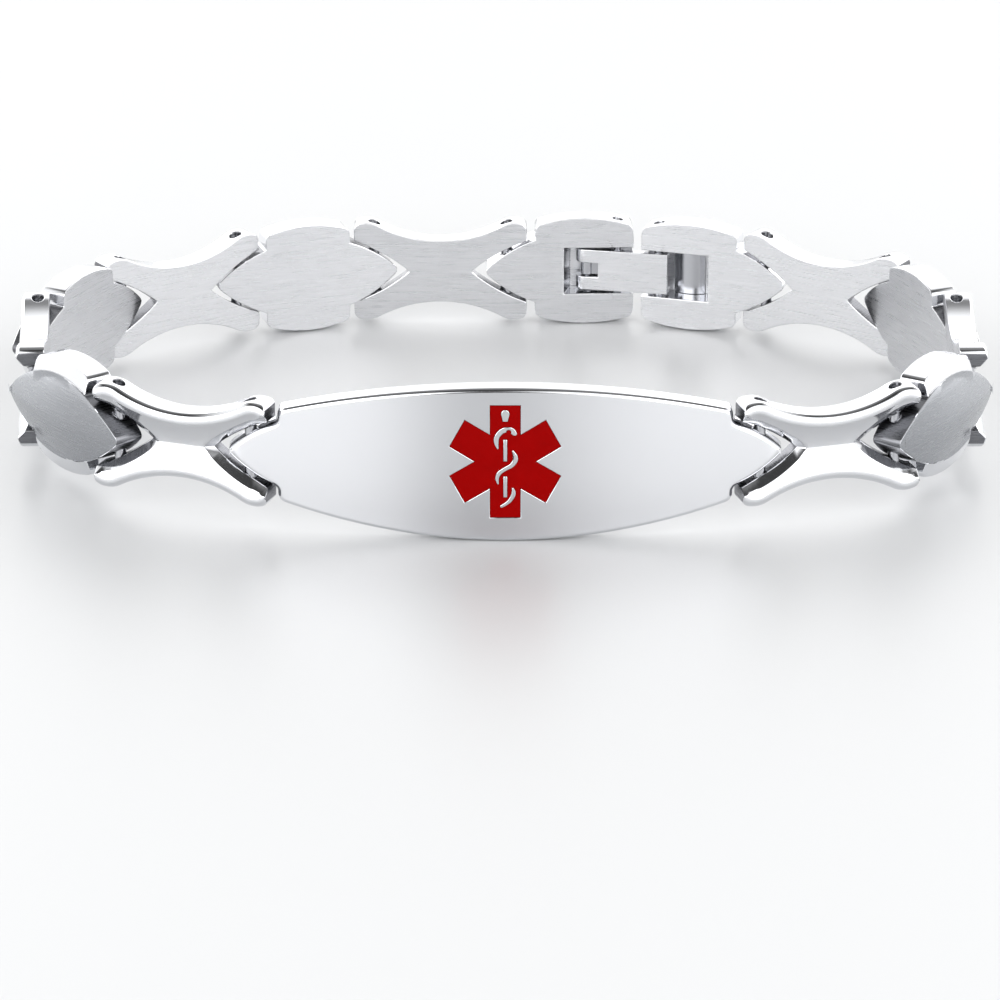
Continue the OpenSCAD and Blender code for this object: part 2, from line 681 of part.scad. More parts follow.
// Bowed spring leaf on the floor of the right clasp link's pocket
module clasp_spring() {
    x0 = free_x - pocket_len + pocket_slope + spring_t;
    x1 = clasp_pitch / 2 - catch_reach - 2 * catch_gap;
    half = (x1 - x0) / 2;
    r = (half ^ 2 + spring_rise ^ 2) / (2 * spring_rise);
    foot_z = pocket_z - pin_play;
    bow_z = foot_z - spring_rise + r;
    color("gray")
    intersection() {
        translate([x0, pin_play - pocket_h / 2, foot_z - pocket_depth])
        cube([x1 - x0, pocket_h - 2 * pin_play, pocket_depth]);
        difference() {
            upright((x0 + x1) / 2, 2 * (r + spring_t), pocket_h, bow_z);
            upright((x0 + x1) / 2, 2 * r, 2 * pocket_h, bow_z);
        }
    }
}

on_link(0) id_plate();
on_link(0) star_enamel();
for (k = [1 : len(cross_places)])
    on_link(cross_places[k - 1]) cross_link();
for (k = [1 : len(leaf_places)])
    on_link(leaf_places[k - 1])
        mirror([leaf_places[k - 1] > CLASP_SPAN ? 1 : 0, 0, 0])
        leaf_link();
for (k = [1 : len(pin_places)])
    pin(pin_places[k - 1]);
on_link(CLASP_RIGHT) clasp_link();  // clasp_link_right
on_link(CLASP_LEFT) mirror([1, 0, 0]) clasp_link();  // clasp_link_left
clasp_pin(CLASP_SPAN);  // clasp_pin_right
clasp_pin(CLASP_LEFT);  // clasp_pin_left
stood(pins[CLASP_LEFT], headings[CLASP_LEFT]) clasp_hinge();
stood(hinge_at, lever_heading) clasp_hinge_pin();
stood(hinge_at, lever_heading) clasp_lever();
on_link(CLASP_RIGHT) clasp_spring();
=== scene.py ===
# %% [markdown]
# # A medical alert bracelet in steel
# The bracelet is a closed chain: a bent nameplate with a red star, cross links and
# leaf links in turn, and a folding clasp at the back. Its measured model is loaded
# first, as a frame that never changes. The frame's pins say where each link hangs, so
# a link can be modelled lying flat on a bench, in millimetres, and then be hung there.

# %% The measured model, loaded as the frame
import math

import bmesh
import bpy
from mathutils import Matrix, Vector


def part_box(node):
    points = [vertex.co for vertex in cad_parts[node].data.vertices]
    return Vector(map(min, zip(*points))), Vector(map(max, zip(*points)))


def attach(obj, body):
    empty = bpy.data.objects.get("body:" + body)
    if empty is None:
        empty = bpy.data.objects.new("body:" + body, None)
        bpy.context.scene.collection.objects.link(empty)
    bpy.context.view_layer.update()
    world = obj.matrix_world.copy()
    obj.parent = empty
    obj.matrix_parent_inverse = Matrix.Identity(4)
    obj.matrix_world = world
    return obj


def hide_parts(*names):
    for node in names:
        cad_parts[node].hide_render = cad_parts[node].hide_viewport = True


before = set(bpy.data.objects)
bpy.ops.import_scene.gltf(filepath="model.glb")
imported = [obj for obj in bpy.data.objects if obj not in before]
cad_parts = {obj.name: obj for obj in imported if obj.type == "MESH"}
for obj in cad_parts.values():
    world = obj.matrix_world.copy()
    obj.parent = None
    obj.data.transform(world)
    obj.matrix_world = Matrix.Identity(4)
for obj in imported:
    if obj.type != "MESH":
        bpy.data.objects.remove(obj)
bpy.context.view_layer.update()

MM = 0.001


def in_mm(corner):
    return [round(c / MM, 2) for c in corner]


# %% [markdown]
# ## The camera
# The bracelet is seen from the front and a little above, through a long lens, so that
# near and far links look almost the same size. A camera can be pointed by hand, but
# this one is placed from the middle of the nameplate, so that it stays right if the
# plate moves. It aims at a point in front of the plate, which leaves pale floor below
# the loop in the picture.

# %% The middle of the nameplate, from its two pins
def pin_at(node):
    """The middle of a pin of the frame"""
    low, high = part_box(node)
    return (Vector(low) + Vector(high)) / 2


plate_middle = (pin_at("link_pin_14") + pin_at("link_pin_1")) / 2
print("middle of the plate, mm:", in_mm(plate_middle))

# %% A long lens in front of it
LENS = 214.1
SENSOR = 36
CAMERA_FROM_PLATE = Vector((-0.4, -423.28, 169.98)) * MM
AIM_FROM_PLATE = Vector((-0.4, -21.91, 4.83)) * MM
camera_data = bpy.data.cameras.new("camera")
camera_data.lens = LENS
camera_data.sensor_width = SENSOR
camera_data.clip_start = 10 * MM
camera = bpy.data.objects.new("camera", camera_data)
bpy.context.collection.objects.link(camera)
camera.location = plate_middle + CAMERA_FROM_PLATE
looking_along = AIM_FROM_PLATE - CAMERA_FROM_PLATE
camera.rotation_euler = looking_along.to_track_quat("-Z", "Y").to_euler()
bpy.context.scene.camera = camera
print("camera at, mm:", in_mm(camera.location))

# %% [markdown]
# ## The bench
# A jeweller makes each link flat on a bench and joins them afterwards, and so does
# this script: x runs along the chain, y across it, and z out of the outer face, with
# the pins' middle at z = 0. Blender's operators act on all that is selected, and the
# loaded model comes in selected. So everything is put down before a piece is taken
# up, and its faces or edges are then picked by their place.

# %% Putting down, taking up and picking
PART_MODE = {"edges": "EDGE", "faces": "FACE"}


def clear_bench():
    """Leaves edit mode and lets go of everything"""
    if bpy.context.mode != "OBJECT":
        bpy.ops.object.mode_set(mode="OBJECT")
    bpy.ops.object.select_all(action="DESELECT")


def take_up(piece):
    """Makes one piece the only one that operators act on"""
    clear_bench()
    piece.select_set(True)
    bpy.context.view_layer.objects.active = piece


def pick(piece, kind="faces", test=lambda part: True):
    """Goes into edit mode and selects the faces or edges that pass a test"""
    if bpy.context.mode == "OBJECT":
        take_up(piece)
        bpy.ops.object.mode_set(mode="EDIT")
    bpy.ops.mesh.select_mode(type=PART_MODE[kind])
    bpy.ops.mesh.select_all(action="DESELECT")
    form = bmesh.from_edit_mesh(piece.data)
    for part in [part for part in getattr(form, kind) if test(part)]:
        part.select_set(True)
    form.select_flush_mode()
    bmesh.update_edit_mesh(piece.data)


clear_bench()
print("left on the bench:", len(bpy.context.selected_objects))

# %% [markdown]
# ## The cross link
# From outside it is an X with four horns. Its long edges are hollow, with a round
# roll along them, and inside the rolls two slopes fall to a crease in the middle. It
# could be carved from a block, but a roll that follows a curve is what the spin
# operator does well. So the section of half a link is drawn first. It is spun round
# the hollow's centre and then round the back of one horn, and that quarter is
# mirrored twice.

# %% An arc, from its ends and its height
def bowed(p, q, sag, steps):
    """Points on the arc from p to q that stands out from the straight line by sag"""
    p, q = Vector(p), Vector(q)
    half = (q - p).length / 2
    r = (half ** 2 + sag ** 2) / (2 * sag)
    out = Vector((q.y - p.y, p.x - q.x)) / (2 * half)
    centre = (p + q) / 2 - out * (r - sag)
    spread = math.asin(half / r)
    middle = math.atan2(out.y, out.x)
    turns = [middle + spread * (2 * i / steps - 1) for i in range(steps + 1)]
    return [(centre.x + r * math.cos(t), centre.y + r * math.sin(t)) for t in turns]


arc = bowed((0, 0), (10, 0), 1, 4)
print("an arc 10 mm long and 1 mm high:", [(round(x, 2), round(y, 2)) for x, y in arc])

# %% A flat face through points, and what a piece measures
def drawn(name, points):
    """A flat face through the points: a filled circle with each corner moved"""
    clear_bench()
    bpy.ops.mesh.primitive_circle_add(vertices=len(points), radius=1, fill_type="NGON")
    piece = bpy.context.object
    piece.name = name
    for vertex, point in zip(piece.data.vertices, points):
        vertex.co = point
    return piece


def tell(piece):
    """Prints a piece's size on the bench and how many faces it has"""
    sides = [[v.co[i] for v in piece.data.vertices] for i in range(3)]
    size = [round(max(side) - min(side), 2) for side in sides]
    print(f"{piece.name}: {size} mm, {len(piece.data.polygons)} faces")


# %% The section across half a cross link
CROSS_PITCH = 11  # from pin to pin
WAIST = 5.3  # width in the middle
HOLLOW_R = 10.6  # radius of the hollow edges
HORN_R = 2.2  # radius of a horn's back
INNER = -0.9  # height of the inner face
EDGE = 1.2  # height at which roll and slope meet
ROLL_W, ROLL_RISE, ROLL_DROP = 1.05, 0.25, 0.2
CREASE_DROP = 0.45  # how far the slope falls to the crease
SECTION_REACH = 3.65  # the section runs on past the middle, and is cut there later
half_waist = WAIST / 2
slope = CREASE_DROP / (half_waist - ROLL_W)
section = [(0, INNER)]
section += reversed(bowed((ROLL_W, EDGE), (0, EDGE - ROLL_DROP), ROLL_RISE, 10))
section += [(SECTION_REACH, EDGE - slope * (SECTION_REACH - ROLL_W)), (SECTION_REACH, INNER)]
cross = drawn("cross_link", [(0, half_waist - depth, z) for depth, z in section])
pick(cross)
bpy.ops.mesh.bisect(plane_co=(0, half_waist - HORN_R, 0), plane_no=(0, 1, 0))
print("points in the section:", len(section))

# %% Where the hollow and a horn's back have their centres
SEAM_INSET = 0.4  # from a pin back to where hollow and horn meet
turn = math.asin((CROSS_PITCH / 2 - SEAM_INSET) / HOLLOW_R)
hollow_at = Vector((0, half_waist + HOLLOW_R, 0))
back_at = hollow_at + (HOLLOW_R + HORN_R) * Vector((math.sin(turn), -math.cos(turn), 0))
seam = Vector((math.cos(turn), math.sin(turn), 0))
print("centres, mm:", [round(c, 2) for c in (*hollow_at.xy, *back_at.xy)])

# %% Spun round one, then round the other
HORN_TURN = 96
SPIN_STEPS = 20


def horn_section(face):
    """The part of the last section that turns on round the horn"""
    on_seam = all(abs((v.co - hollow_at).dot(seam)) < 1e-3 for v in face.verts)
    return on_seam and min((v.co - hollow_at).xy.length for v in face.verts) < HOLLOW_R + 0.01


pick(cross)
bpy.ops.mesh.spin(steps=SPIN_STEPS, angle=-turn, center=hollow_at, axis=(0, 0, 1))
pick(cross, "faces", horn_section)
bpy.ops.mesh.spin(steps=SPIN_STEPS, angle=math.radians(HORN_TURN), center=back_at, axis=(0, 0, 1))
pick(cross)
bpy.ops.mesh.remove_doubles(threshold=1e-4)
bpy.ops.mesh.normals_make_consistent(inside=False)
clear_bench()
tell(cross)

# %% A quarter, mirrored twice into a whole link
def applied(piece, kind, **settings):
    """Puts a modifier on a piece and applies it"""
    take_up(piece)
    step = piece.modifiers.new(kind.lower(), kind)
    for key, value in settings.items():
        setattr(step, key, value)
    bpy.ops.object.modifier_apply(modifier=step.name)
    return piece


def mirrored_twice(piece):
    """Cuts a piece down to one quarter, opens its two cut walls and mirrors it"""
    for facing in ((0, -1, 0), (-1, 0, 0)):
        pick(piece)
        bpy.ops.mesh.bisect(plane_co=(0, 0, 0), plane_no=facing, clear_outer=True)
    pick(piece, "faces", lambda f: all(abs(v.co.x) < 1e-4 for v in f.verts)
         or all(abs(v.co.y) < 1e-4 for v in f.verts))
    bpy.ops.mesh.delete(type="FACE")
    clear_bench()
    applied(piece, "MIRROR", use_axis=(True, True, False), use_clip=True, merge_threshold=1e-4)
    pick(piece)
    bpy.ops.mesh.remove_doubles(threshold=1e-4)
    bpy.ops.mesh.normals_make_consistent(inside=False)
    clear_bench()
    return piece


mirrored_twice(cross)
tell(cross)

# %% Its horns, trimmed to their length
HORN_END = 7.2  # from the middle to the horns' square ends


def trimmed(piece, x, way):
    """Cuts a piece off square at x and closes it there"""
    pick(piece)
    bpy.ops.mesh.bisect(plane_co=(x, 0, 0), plane_no=(way, 0, 0), clear_outer=True, use_fill=True)
    pick(piece)
    bpy.ops.mesh.normals_make_consistent(inside=False)
    clear_bench()
    return piece


for side in (1, -1):
    trimmed(cross, side * HORN_END, side)
tell(cross)

# %% [markdown]
# Corners and notches are cut with the boolean modifier, which is the file and the saw
# of this bench. It leaves points and faces in any order, and later steps depend on
# that order a little, so they are sorted by place after each cut.

# %% A block to cut with
def thickened(piece, way):
    """Pulls a flat face out into a solid"""
    pick(piece)
    bpy.ops.mesh.extrude_region_move(TRANSFORM_OT_translate={"value": way})
    pick(piece)
    bpy.ops.mesh.normals_make_consistent(inside=False)
    clear_bench()
    return piece


def block(name, points, z0, z1):
    """An outline drawn at the height z0 and thickened to z1"""
    return thickened(drawn(name, [(x, y, z0) for x, y in points]), (0, 0, z1 - z0))


trial = block("trial", [(0, 0), (4, 0), (4, 2), (0, 2)], 0, 1)
tell(trial)

# %% Adding and cutting away
def sorted_by_place(piece):
    """Puts points, edges and faces in the same order on each run"""
    form = bmesh.new()
    form.from_mesh(piece.data)
    slant = Vector((1, 0.618, 0.271))
    form.verts.sort(key=lambda v: v.co.dot(slant))
    form.edges.sort(key=lambda e: (e.verts[0].co + e.verts[1].co).dot(slant))
    form.faces.sort(key=lambda f: f.calc_center_median().dot(slant))
    form.to_mesh(piece.data)
    form.free()


def joined(piece, other, way):
    """Adds another piece to this one, or cuts it away, and uses it up"""
    applied(piece, "BOOLEAN", object=other, operation=way, solver="EXACT")
    bpy.data.objects.remove(other)
    sorted_by_place(piece)
    return piece


joined(trial, block("bite", [(3, 1), (5, 1), (5, 3), (3, 3)], -1, 2), "DIFFERENCE")
tell(trial)
bpy.data.objects.remove(trial)

# %% The horns' corners, rounded
CORNER_R = 0.6
PAST = 1  # a cutting block reaches this far past what it cuts
OUTSIDE_Y = 6  # well outside the link
corner_x = HORN_END - CORNER_R
corner_y = back_at.y + math.sqrt((HORN_R - CORNER_R) ** 2 - (corner_x - back_at.x) ** 2)
meets = math.atan2(corner_y - back_at.y, corner_x - back_at.x)
turns = [meets * i / 8 for i in range(9)]
corner = [(corner_x + CORNER_R * math.cos(t), corner_y + CORNER_R * math.sin(t)) for t in turns]
corner += [(corner[-1][0], OUTSIDE_Y), (HORN_END + PAST, OUTSIDE_Y), (HORN_END + PAST, corner_y)]
for across in (1, -1):
    for side in (1, -1):
        line = [(side * x, across * y) for x, y in corner]
        joined(cross, block("corner", line, INNER - PAST, EDGE + 2 * PAST), "DIFFERENCE")
tell(cross)

# %% The outline of a V notch
NOTCH_X = 2.6  # where the V starts, from the middle
MOUTH_Y = 2.674  # half its width at the horns' ends
NOTCH_BOW = 0.25  # how far its walls bow
MOUTH_FLARE = 0.4
upper = bowed((NOTCH_X, 0), (HORN_END, MOUTH_Y), -NOTCH_BOW, 9)[:-1]
upper += [(HORN_END + PAST, MOUTH_Y + MOUTH_FLARE)]
notch_line = upper + [(x, -y) for x, y in reversed(upper)][:-1]


def slope_z(x, y):
    """Height of the link's slope at a place, which the notch's bevel follows"""
    x, y = abs(x), abs(y)
    past_seam = Vector((x - hollow_at.x, y - hollow_at.y, 0)).dot(seam) > 0
    if past_seam:
        depth = HORN_R - math.hypot(x - back_at.x, y - back_at.y)
    else:
        depth = math.hypot(x, y - hollow_at.y) - HOLLOW_R
    return EDGE - slope * (depth - ROLL_W)


print("height of the crease at the notch, mm:", round(slope_z(NOTCH_X, 0), 3))

# %% The way out of an outline at each point
def ways_out(line):
    """The way out of a closed line at each point, longer where the line turns"""
    ways = []
    for i, (x, y) in enumerate(line):
        ax, ay = line[i - 1]
        bx, by = line[(i + 1) % len(line)]
        first = Vector((y - ay, ax - x)).normalized()
        second = Vector((by - y, x - bx)).normalized()
        mean = (first + second).normalized()
        ways.append(mean / max(0.5, mean.dot(first)))
    middle = Vector((sum(p[0] for p in line), sum(p[1] for p in line))) / len(line)
    sign = sum((Vector(p) - middle).dot(w) for p, w in zip(line, ways))
    return [w if sign > 0 else -w for w in ways]


print("way out at the notch's point:", [round(c, 2) for c in ways_out(notch_line)[0]])

# %% The notches, cut with a block that flares out above
NOTCH_BEVEL = 0.45
BELOW = -3


def lofted(name, rings):
    """A block from ring to ring: the last face is extruded, then moved to the next ring"""
    piece = drawn(name, rings[0])
    pick(piece)
    for ring, after in zip(rings, rings[1:]):
        bpy.ops.mesh.extrude_region_move(TRANSFORM_OT_translate={"value": (0, 0, 0)})
        form = bmesh.from_edit_mesh(piece.data)
        for vertex in [v for v in form.verts if v.select]:
            nearest = min(range(len(ring)), key=lambda i: (Vector(ring[i]) - vertex.co).length)
            vertex.co = after[nearest]
        bmesh.update_edit_mesh(piece.data)
    pick(piece)
    bpy.ops.mesh.normals_make_consistent(inside=False)
    clear_bench()
    return piece


for side in (1, -1):
    line = [(side * x, y) for x, y in notch_line]
    foot = [(x, y, BELOW) for x, y in line]
    bevel_foot = [(x, y, slope_z(x, y) - NOTCH_BEVEL) for x, y in line]
    flare = [(x + (NOTCH_BEVEL + PAST) * way.x, y + (NOTCH_BEVEL + PAST) * way.y, slope_z(x, y) + PAST)
             for (x, y), way in zip(line, ways_out(line))]
    joined(cross, lofted("notch", [foot, bevel_foot, flare]), "DIFFERENCE")
tell(cross)

# %% Pin holes
PIN_D = 0.9
PIN_PLAY = 0.04  # a hole is this much wider than its pin, all round
LONG = 30  # longer than any link is wide


def bore(piece, x, diameter):
    """A hole across the chain"""
    clear_bench()
    bpy.ops.mesh.primitive_cylinder_add(vertices=32, radius=diameter / 2 + PIN_PLAY, depth=LONG,
                                        location=(x, 0, 0), rotation=(math.pi / 2, 0, 0))
    return joined(piece, bpy.context.object, "DIFFERENCE")


for side in (1, -1):
    bore(cross, side * CROSS_PITCH / 2, PIN_D)
tell(cross)

# %% Soft edges, because no real edge is quite sharp
NEAREST = 0.03  # points nearer than this become one, or a bevel would leave a sliver


def eased(piece, width, angle=20, segments=2):
    """Rounds all edges sharper than an angle"""
    pick(piece)
    bpy.ops.mesh.remove_doubles(threshold=NEAREST)
    clear_bench()
    applied(piece, "BEVEL", width=width, segments=segments, limit_method="ANGLE",
            angle_limit=math.radians(angle), use_clamp_overlap=False, loop_slide=True)
    tell(piece)
    return piece


eased(cross, 0.07, angle=27)

# %% [markdown]
# ## The leaf link's body
# A leaf link is a stout body with two bowed edges and a polished slope, and a pointed
# leaf with a satin face lies along it. The body could be bent from a bar, but its
# section never changes, so it is spun again, round a centre beyond its other edge.

# %% Sizes of the leaf link, and choosing its upright edges
LEAF_PITCH = 12
LEAF_H = 9.2  # across the link in the middle
SHOULDER_H = 7.9  # across its shoulders
SHOULDER_S = 2.4  # from a pin back to the shoulder
SHOULDER_R = 0.4  # its rounding
SLOPE_W, SLOPE_Z = 1.1, 1.65  # width of the polished slope, and its upper height
OVERLAP = 0.5  # the section runs this far past the middle, and is cut there later
SPIN_SPARE = 0.3  # and the spin this far past the shoulders
LEAF_BODY = LEAF_PITCH - 2 * SHOULDER_S


def standing(x, y):
    """Chooses the upright edges at a distance x along and y across"""
    return lambda e: (e.verts[0].co - e.verts[1].co).xy.length < 1e-3 and all(
        abs(v.co.x - x) < 0.01 and abs(abs(v.co.y) - y) < 0.01 for v in e.verts)


print("length of the leaf link's body, mm:", round(LEAF_BODY, 2))

# %% A body with bowed edges
def link_body(name, length, left_r, right_r):
    """The body of a leaf or clasp link, with a rounding for each pair of shoulders"""
    rise = (LEAF_H - SHOULDER_H) / 2
    r = (length ** 2 / 4 + rise ** 2) / (2 * rise)
    past_middle = LEAF_H / 2 + OVERLAP
    section = [(0, INNER), (0, EDGE), (SLOPE_W, SLOPE_Z), (past_middle, SLOPE_Z), (past_middle, INNER)]
    piece = drawn(name, [(0, LEAF_H / 2 - depth, z) for depth, z in section])
    pick(piece)
    reach = math.asin((length / 2 + SPIN_SPARE) / (r - past_middle))
    bpy.ops.mesh.spin(steps=round(r * reach), angle=reach, center=(0, LEAF_H / 2 - r, 0), axis=(0, 0, 1))
    pick(piece)
    bpy.ops.mesh.normals_make_consistent(inside=False)
    mirrored_twice(piece)
    for side in (1, -1):
        trimmed(piece, side * length / 2, side)
    for x, radius in ((length / 2, right_r), (-length / 2, left_r)):
        pick(piece, "edges", standing(x, SHOULDER_H / 2))
        bpy.ops.mesh.bevel(offset=radius, segments=5, affect="EDGES")
    clear_bench()
    return piece


leaf = link_body("leaf_link", LEAF_BODY, SHOULDER_R, SHOULDER_R)
tell(leaf)

# %% [markdown]
# ## The leaf on it
# The leaf is pointed at both ends and reaches past the body. Its ends are the noses
# that swing between two horns. Its back is arched along and across, with a soft
# crease that fades towards the middle. A subdivided cage could give such a back, but
# the outline has to stay exact for the horns, so a flat leaf is cut into strips and
# each point of its upper face is raised to its height.

# %% Outline of the leaf
BLADE_LEN, BLADE_H = 15.8, 6.7  # of the whole leaf, before its tips are rounded
TIP_R = 0.5  # rounding of a tip
blade_r = (BLADE_LEN ** 2 + BLADE_H ** 2) / (4 * BLADE_H)
arc_y = BLADE_H / 2 - blade_r
tip_x = math.sqrt((blade_r - TIP_R) ** 2 - arc_y ** 2)
tip_join = tip_x * blade_r / (blade_r - TIP_R)


def blade_y(x):
    """Half the leaf's width at x"""
    x = abs(x)
    if x < tip_join:
        return arc_y + math.sqrt(blade_r ** 2 - x ** 2)
    return math.sqrt(max(0, TIP_R ** 2 - (x - tip_x) ** 2))


nose_x = [tip_x + TIP_R * math.cos(math.radians(a)) for a in (0, 18, 36)] + [tip_join]
blade_x = nose_x + [tip_join * i / 16 for i in range(15, -16, -1)] + [-x for x in reversed(nose_x)]
print("half the leaf's length, mm:", round(blade_x[0], 2), "- strips:", len(blade_x) - 1)

# %% Height of its back
TOP_Z = 2.35
BLADE_RISE, BLADE_FALL = 0.5, 0.9  # how far the arch falls to the sides and to the tips
CREASE_TURN = 12
back_r = (BLADE_H ** 2 / 4 + BLADE_RISE ** 2) / (2 * BLADE_RISE)
arch_r = (BLADE_LEN ** 2 / 4 + BLADE_FALL ** 2) / (2 * BLADE_FALL)


def blade_z(x, y):
    """The lower of two arched backs, turned a little apart: they meet in the crease"""
    heights = []
    for side in (1, -1):
        fan = Matrix.Rotation(math.radians(-side * CREASE_TURN), 2) @ Vector((x + BLADE_LEN / 4, y))
        across_back = arch_r - back_r + math.sqrt(back_r ** 2 - fan.y ** 2)
        heights.append(TOP_Z - arch_r + math.sqrt(across_back ** 2 - (fan.x - BLADE_LEN / 4) ** 2))
    return min(heights)


print("back in the middle and at a tip, mm:", round(blade_z(0, 0), 2), round(blade_z(tip_x, 0), 2))

# %% The leaf, cut into strips and raised
def blade():
    """A leaf of its own, to be joined to a body"""
    right = [(x, blade_y(x)) for x in blade_x]
    line = right + [(x, -y) for x, y in reversed(right[1:-1])]
    piece = block("blade", line, INNER, TOP_Z)
    for x in blade_x[1:-1]:
        pick(piece)
        bpy.ops.mesh.bisect(plane_co=(x, 0, 0), plane_no=(1, 0, 0))
    pick(piece)
    bpy.ops.mesh.remove_doubles(threshold=1e-3)
    pick(piece, "edges", lambda e: abs(e.verts[0].co.x - e.verts[1].co.x) < 1e-3
         and e.calc_length() > 1 and all(v.co.z > TOP_Z - 1e-3 for v in e.verts))
    bpy.ops.mesh.subdivide(number_cuts=11)
    form = bmesh.from_edit_mesh(piece.data)
    for vertex in form.verts:
        if vertex.co.z > TOP_Z - 1e-3:
            vertex.co.z = blade_z(vertex.co.x, vertex.co.y)
    bmesh.update_edit_mesh(piece.data)
    clear_bench()
    return piece


joined(leaf, blade(), "UNION")
tell(leaf)

# %% Pin holes and soft edges of the leaf link
for side in (1, -1):
    bore(leaf, side * LEAF_PITCH / 2, PIN_D)
eased(leaf, 0.07)

# %% [markdown]
# ## The two clasp links
# A clasp link is a leaf link that stops short: one nose, one blunt end with rounder
# shoulders, and a square pocket on the inner side for the folding lever. It could be
# a piece of its own, but with the same body and leaf it passes for one more link from
# outside, as on the real clasp.

# %% Body and leaf of a clasp link
CLASP_PITCH = 9.3
CLASP_REACH = 1.3  # from the clasp pin to the blunt end
CLASP_CORNER_R = 0.8
CLASP_BODY = CLASP_PITCH + CLASP_REACH - SHOULDER_S
free_x = CLASP_PITCH / 2 + CLASP_REACH
clasp_leaf_x = (LEAF_PITCH - CLASP_PITCH) / 2


def moved(piece, way):
    """Moves a piece's points, so that its own origin stays on the bench"""
    piece.data.transform(Matrix.Translation(way))
    return piece


clasp = link_body("clasp_link", CLASP_BODY, SHOULDER_R, CLASP_CORNER_R)
moved(clasp, (free_x - CLASP_BODY / 2, 0, 0))
clasp_leaf = moved(blade(), (clasp_leaf_x, 0, 0))
trimmed(clasp_leaf, free_x, 1)
joined(clasp, clasp_leaf, "UNION")
tell(clasp)

# %% Its pocket, pin holes and soft edges
CLASP_PIN_D = 0.8
POCKET_H, POCKET_LEN, POCKET_DEPTH = 4, 5.8, 2.25
POCKET_SLOPE = 0.6  # how far the pocket's end wall leans
pocket_end = free_x - POCKET_LEN
pocket_z = INNER + POCKET_DEPTH
pocket_side = [(pocket_end, INNER - PAST), (free_x + PAST, INNER - PAST), (free_x + PAST, pocket_z),
               (pocket_end + POCKET_SLOPE, pocket_z), (pocket_end, INNER)]
pocket = drawn("pocket", [(x, POCKET_H / 2, z) for x, z in pocket_side])
joined(clasp, thickened(pocket, (0, -POCKET_H, 0)), "DIFFERENCE")
bore(clasp, -CLASP_PITCH / 2, PIN_D)
bore(clasp, CLASP_PITCH / 2, CLASP_PIN_D)
eased(clasp, 0.07)

# %% [markdown]
# ## The lever
# The lever is a strip of steel that turns on a hinge pin in one clasp link and snaps
# on a pin in the other. The real one is folded from sheet. Folding is hard to do in a
# mesh, so its side view is drawn and thickened, and then the hollow between its
# walls, the room for the hinge and the mouth of the catch are cut out.

# %% Side view of the lever
LEVER_H, LEVER_T = 3.5, 0.45  # its width, and the thickness of its sheet
LEVER_WALL = 0.65  # height of its turned-up sides, from the inner face
FORK_R = 0.95  # round the hinge pin
CATCH_REACH, CATCH_GAP = 0.85, 0.12  # half the catch's length, and its play round the pin
lever_len = (pin_at("clasp_hinge_pin") - pin_at("clasp_pin_right")).length / MM
catch_x = -lever_len
catch_r = CLASP_PIN_D / 2 + CATCH_GAP
fork = [math.radians(15 + 15 * i) for i in range(17)]
lever_line = [(catch_x - CATCH_REACH, INNER), (0, INNER)]
lever_line += [(FORK_R * math.sin(a), -FORK_R * math.cos(a)) for a in fork]
lever_line += [(-FORK_R, INNER + LEVER_WALL), (catch_x + CATCH_REACH, INNER + LEVER_WALL)]
lever_line += [(catch_x + CATCH_REACH, catch_r), (catch_x - CATCH_REACH, catch_r)]
lever = drawn("clasp_lever", [(x, LEVER_H / 2, z) for x, z in lever_line])
thickened(lever, (0, -LEVER_H, 0))
print("lever from pin to pin, mm:", round(lever_len, 3))

# %% Hollow, hinge room and catch
KNUCKLE_H, KNUCKLE_GAP = 1, 0.12
HINGE_PIN_D = 0.5
FAR = 3  # further than any side of the lever


def bar(name, x0, x1, half_y, z0, z1):
    """A plain bar to cut with"""
    return block(name, [(x0, -half_y), (x1, -half_y), (x1, half_y), (x0, half_y)], z0, z1)


hollow_y = LEVER_H / 2 - LEVER_T
prong_y = KNUCKLE_H / 2 + KNUCKLE_GAP
joined(lever, bar("hollow", catch_x - 2 * CATCH_REACH, -FORK_R, hollow_y, INNER + LEVER_T, FAR),
       "DIFFERENCE")
joined(lever, bar("hinge_room", -FORK_R - KNUCKLE_GAP, FAR, prong_y, -FAR, FAR), "DIFFERENCE")
bore(lever, catch_x, 2 * catch_r - 2 * PIN_PLAY)
joined(lever, bar("mouth", catch_x - catch_r, catch_x + catch_r, FAR, 0, FAR), "DIFFERENCE")
bore(lever, 0, HINGE_PIN_D)
eased(lever, 0.06)

# %% [markdown]
# ## The nameplate
# A long lens of thick sheet, bent to the wrist, with a nose at each end that fits the
# first cross links. A bend modifier could curve it. Here the flat outline is cut into
# narrow strips by bisect, and each point is put on the ring that it belongs to, so
# that the sheet keeps its thickness and the bend its exact radius.

# %% Outline of the plate
PLATE_PITCH = 39
PLATE_H, PLATE_SHOULDER_H = 12.4, 7.4
PLATE_T = 1.6
SHOULDER_OUT = 0.3
SIDE_ROUND, ROOT_ROUND = 0.5, 0.35  # of the shoulders, and of the corners beside the noses
NOSE_CLEAR = 0.2
BOW_STEPS = 56  # strips along the bow, each about 0.6 mm wide
side_x = PLATE_PITCH / 2 - SHOULDER_S + SHOULDER_OUT
side_y = PLATE_SHOULDER_H / 2
nose_shift = PLATE_PITCH / 2 - LEAF_PITCH / 2
root_y = blade_y(side_x - nose_shift)
nose = [(x + nose_shift, blade_y(x)) for x in blade_x if x + nose_shift > side_x + NOSE_CLEAR]
bow = bowed((side_x, side_y), (-side_x, side_y), PLATE_H / 2 - side_y, BOW_STEPS)
right = nose + [(side_x, root_y)] + bow
upper = right + [(-x, y) for x, y in reversed(nose + [(side_x, root_y)])]
line = upper + [(x, -y) for x, y in reversed(upper)][1:-1]
plate = block("id_plate", line, 0, PLATE_T)
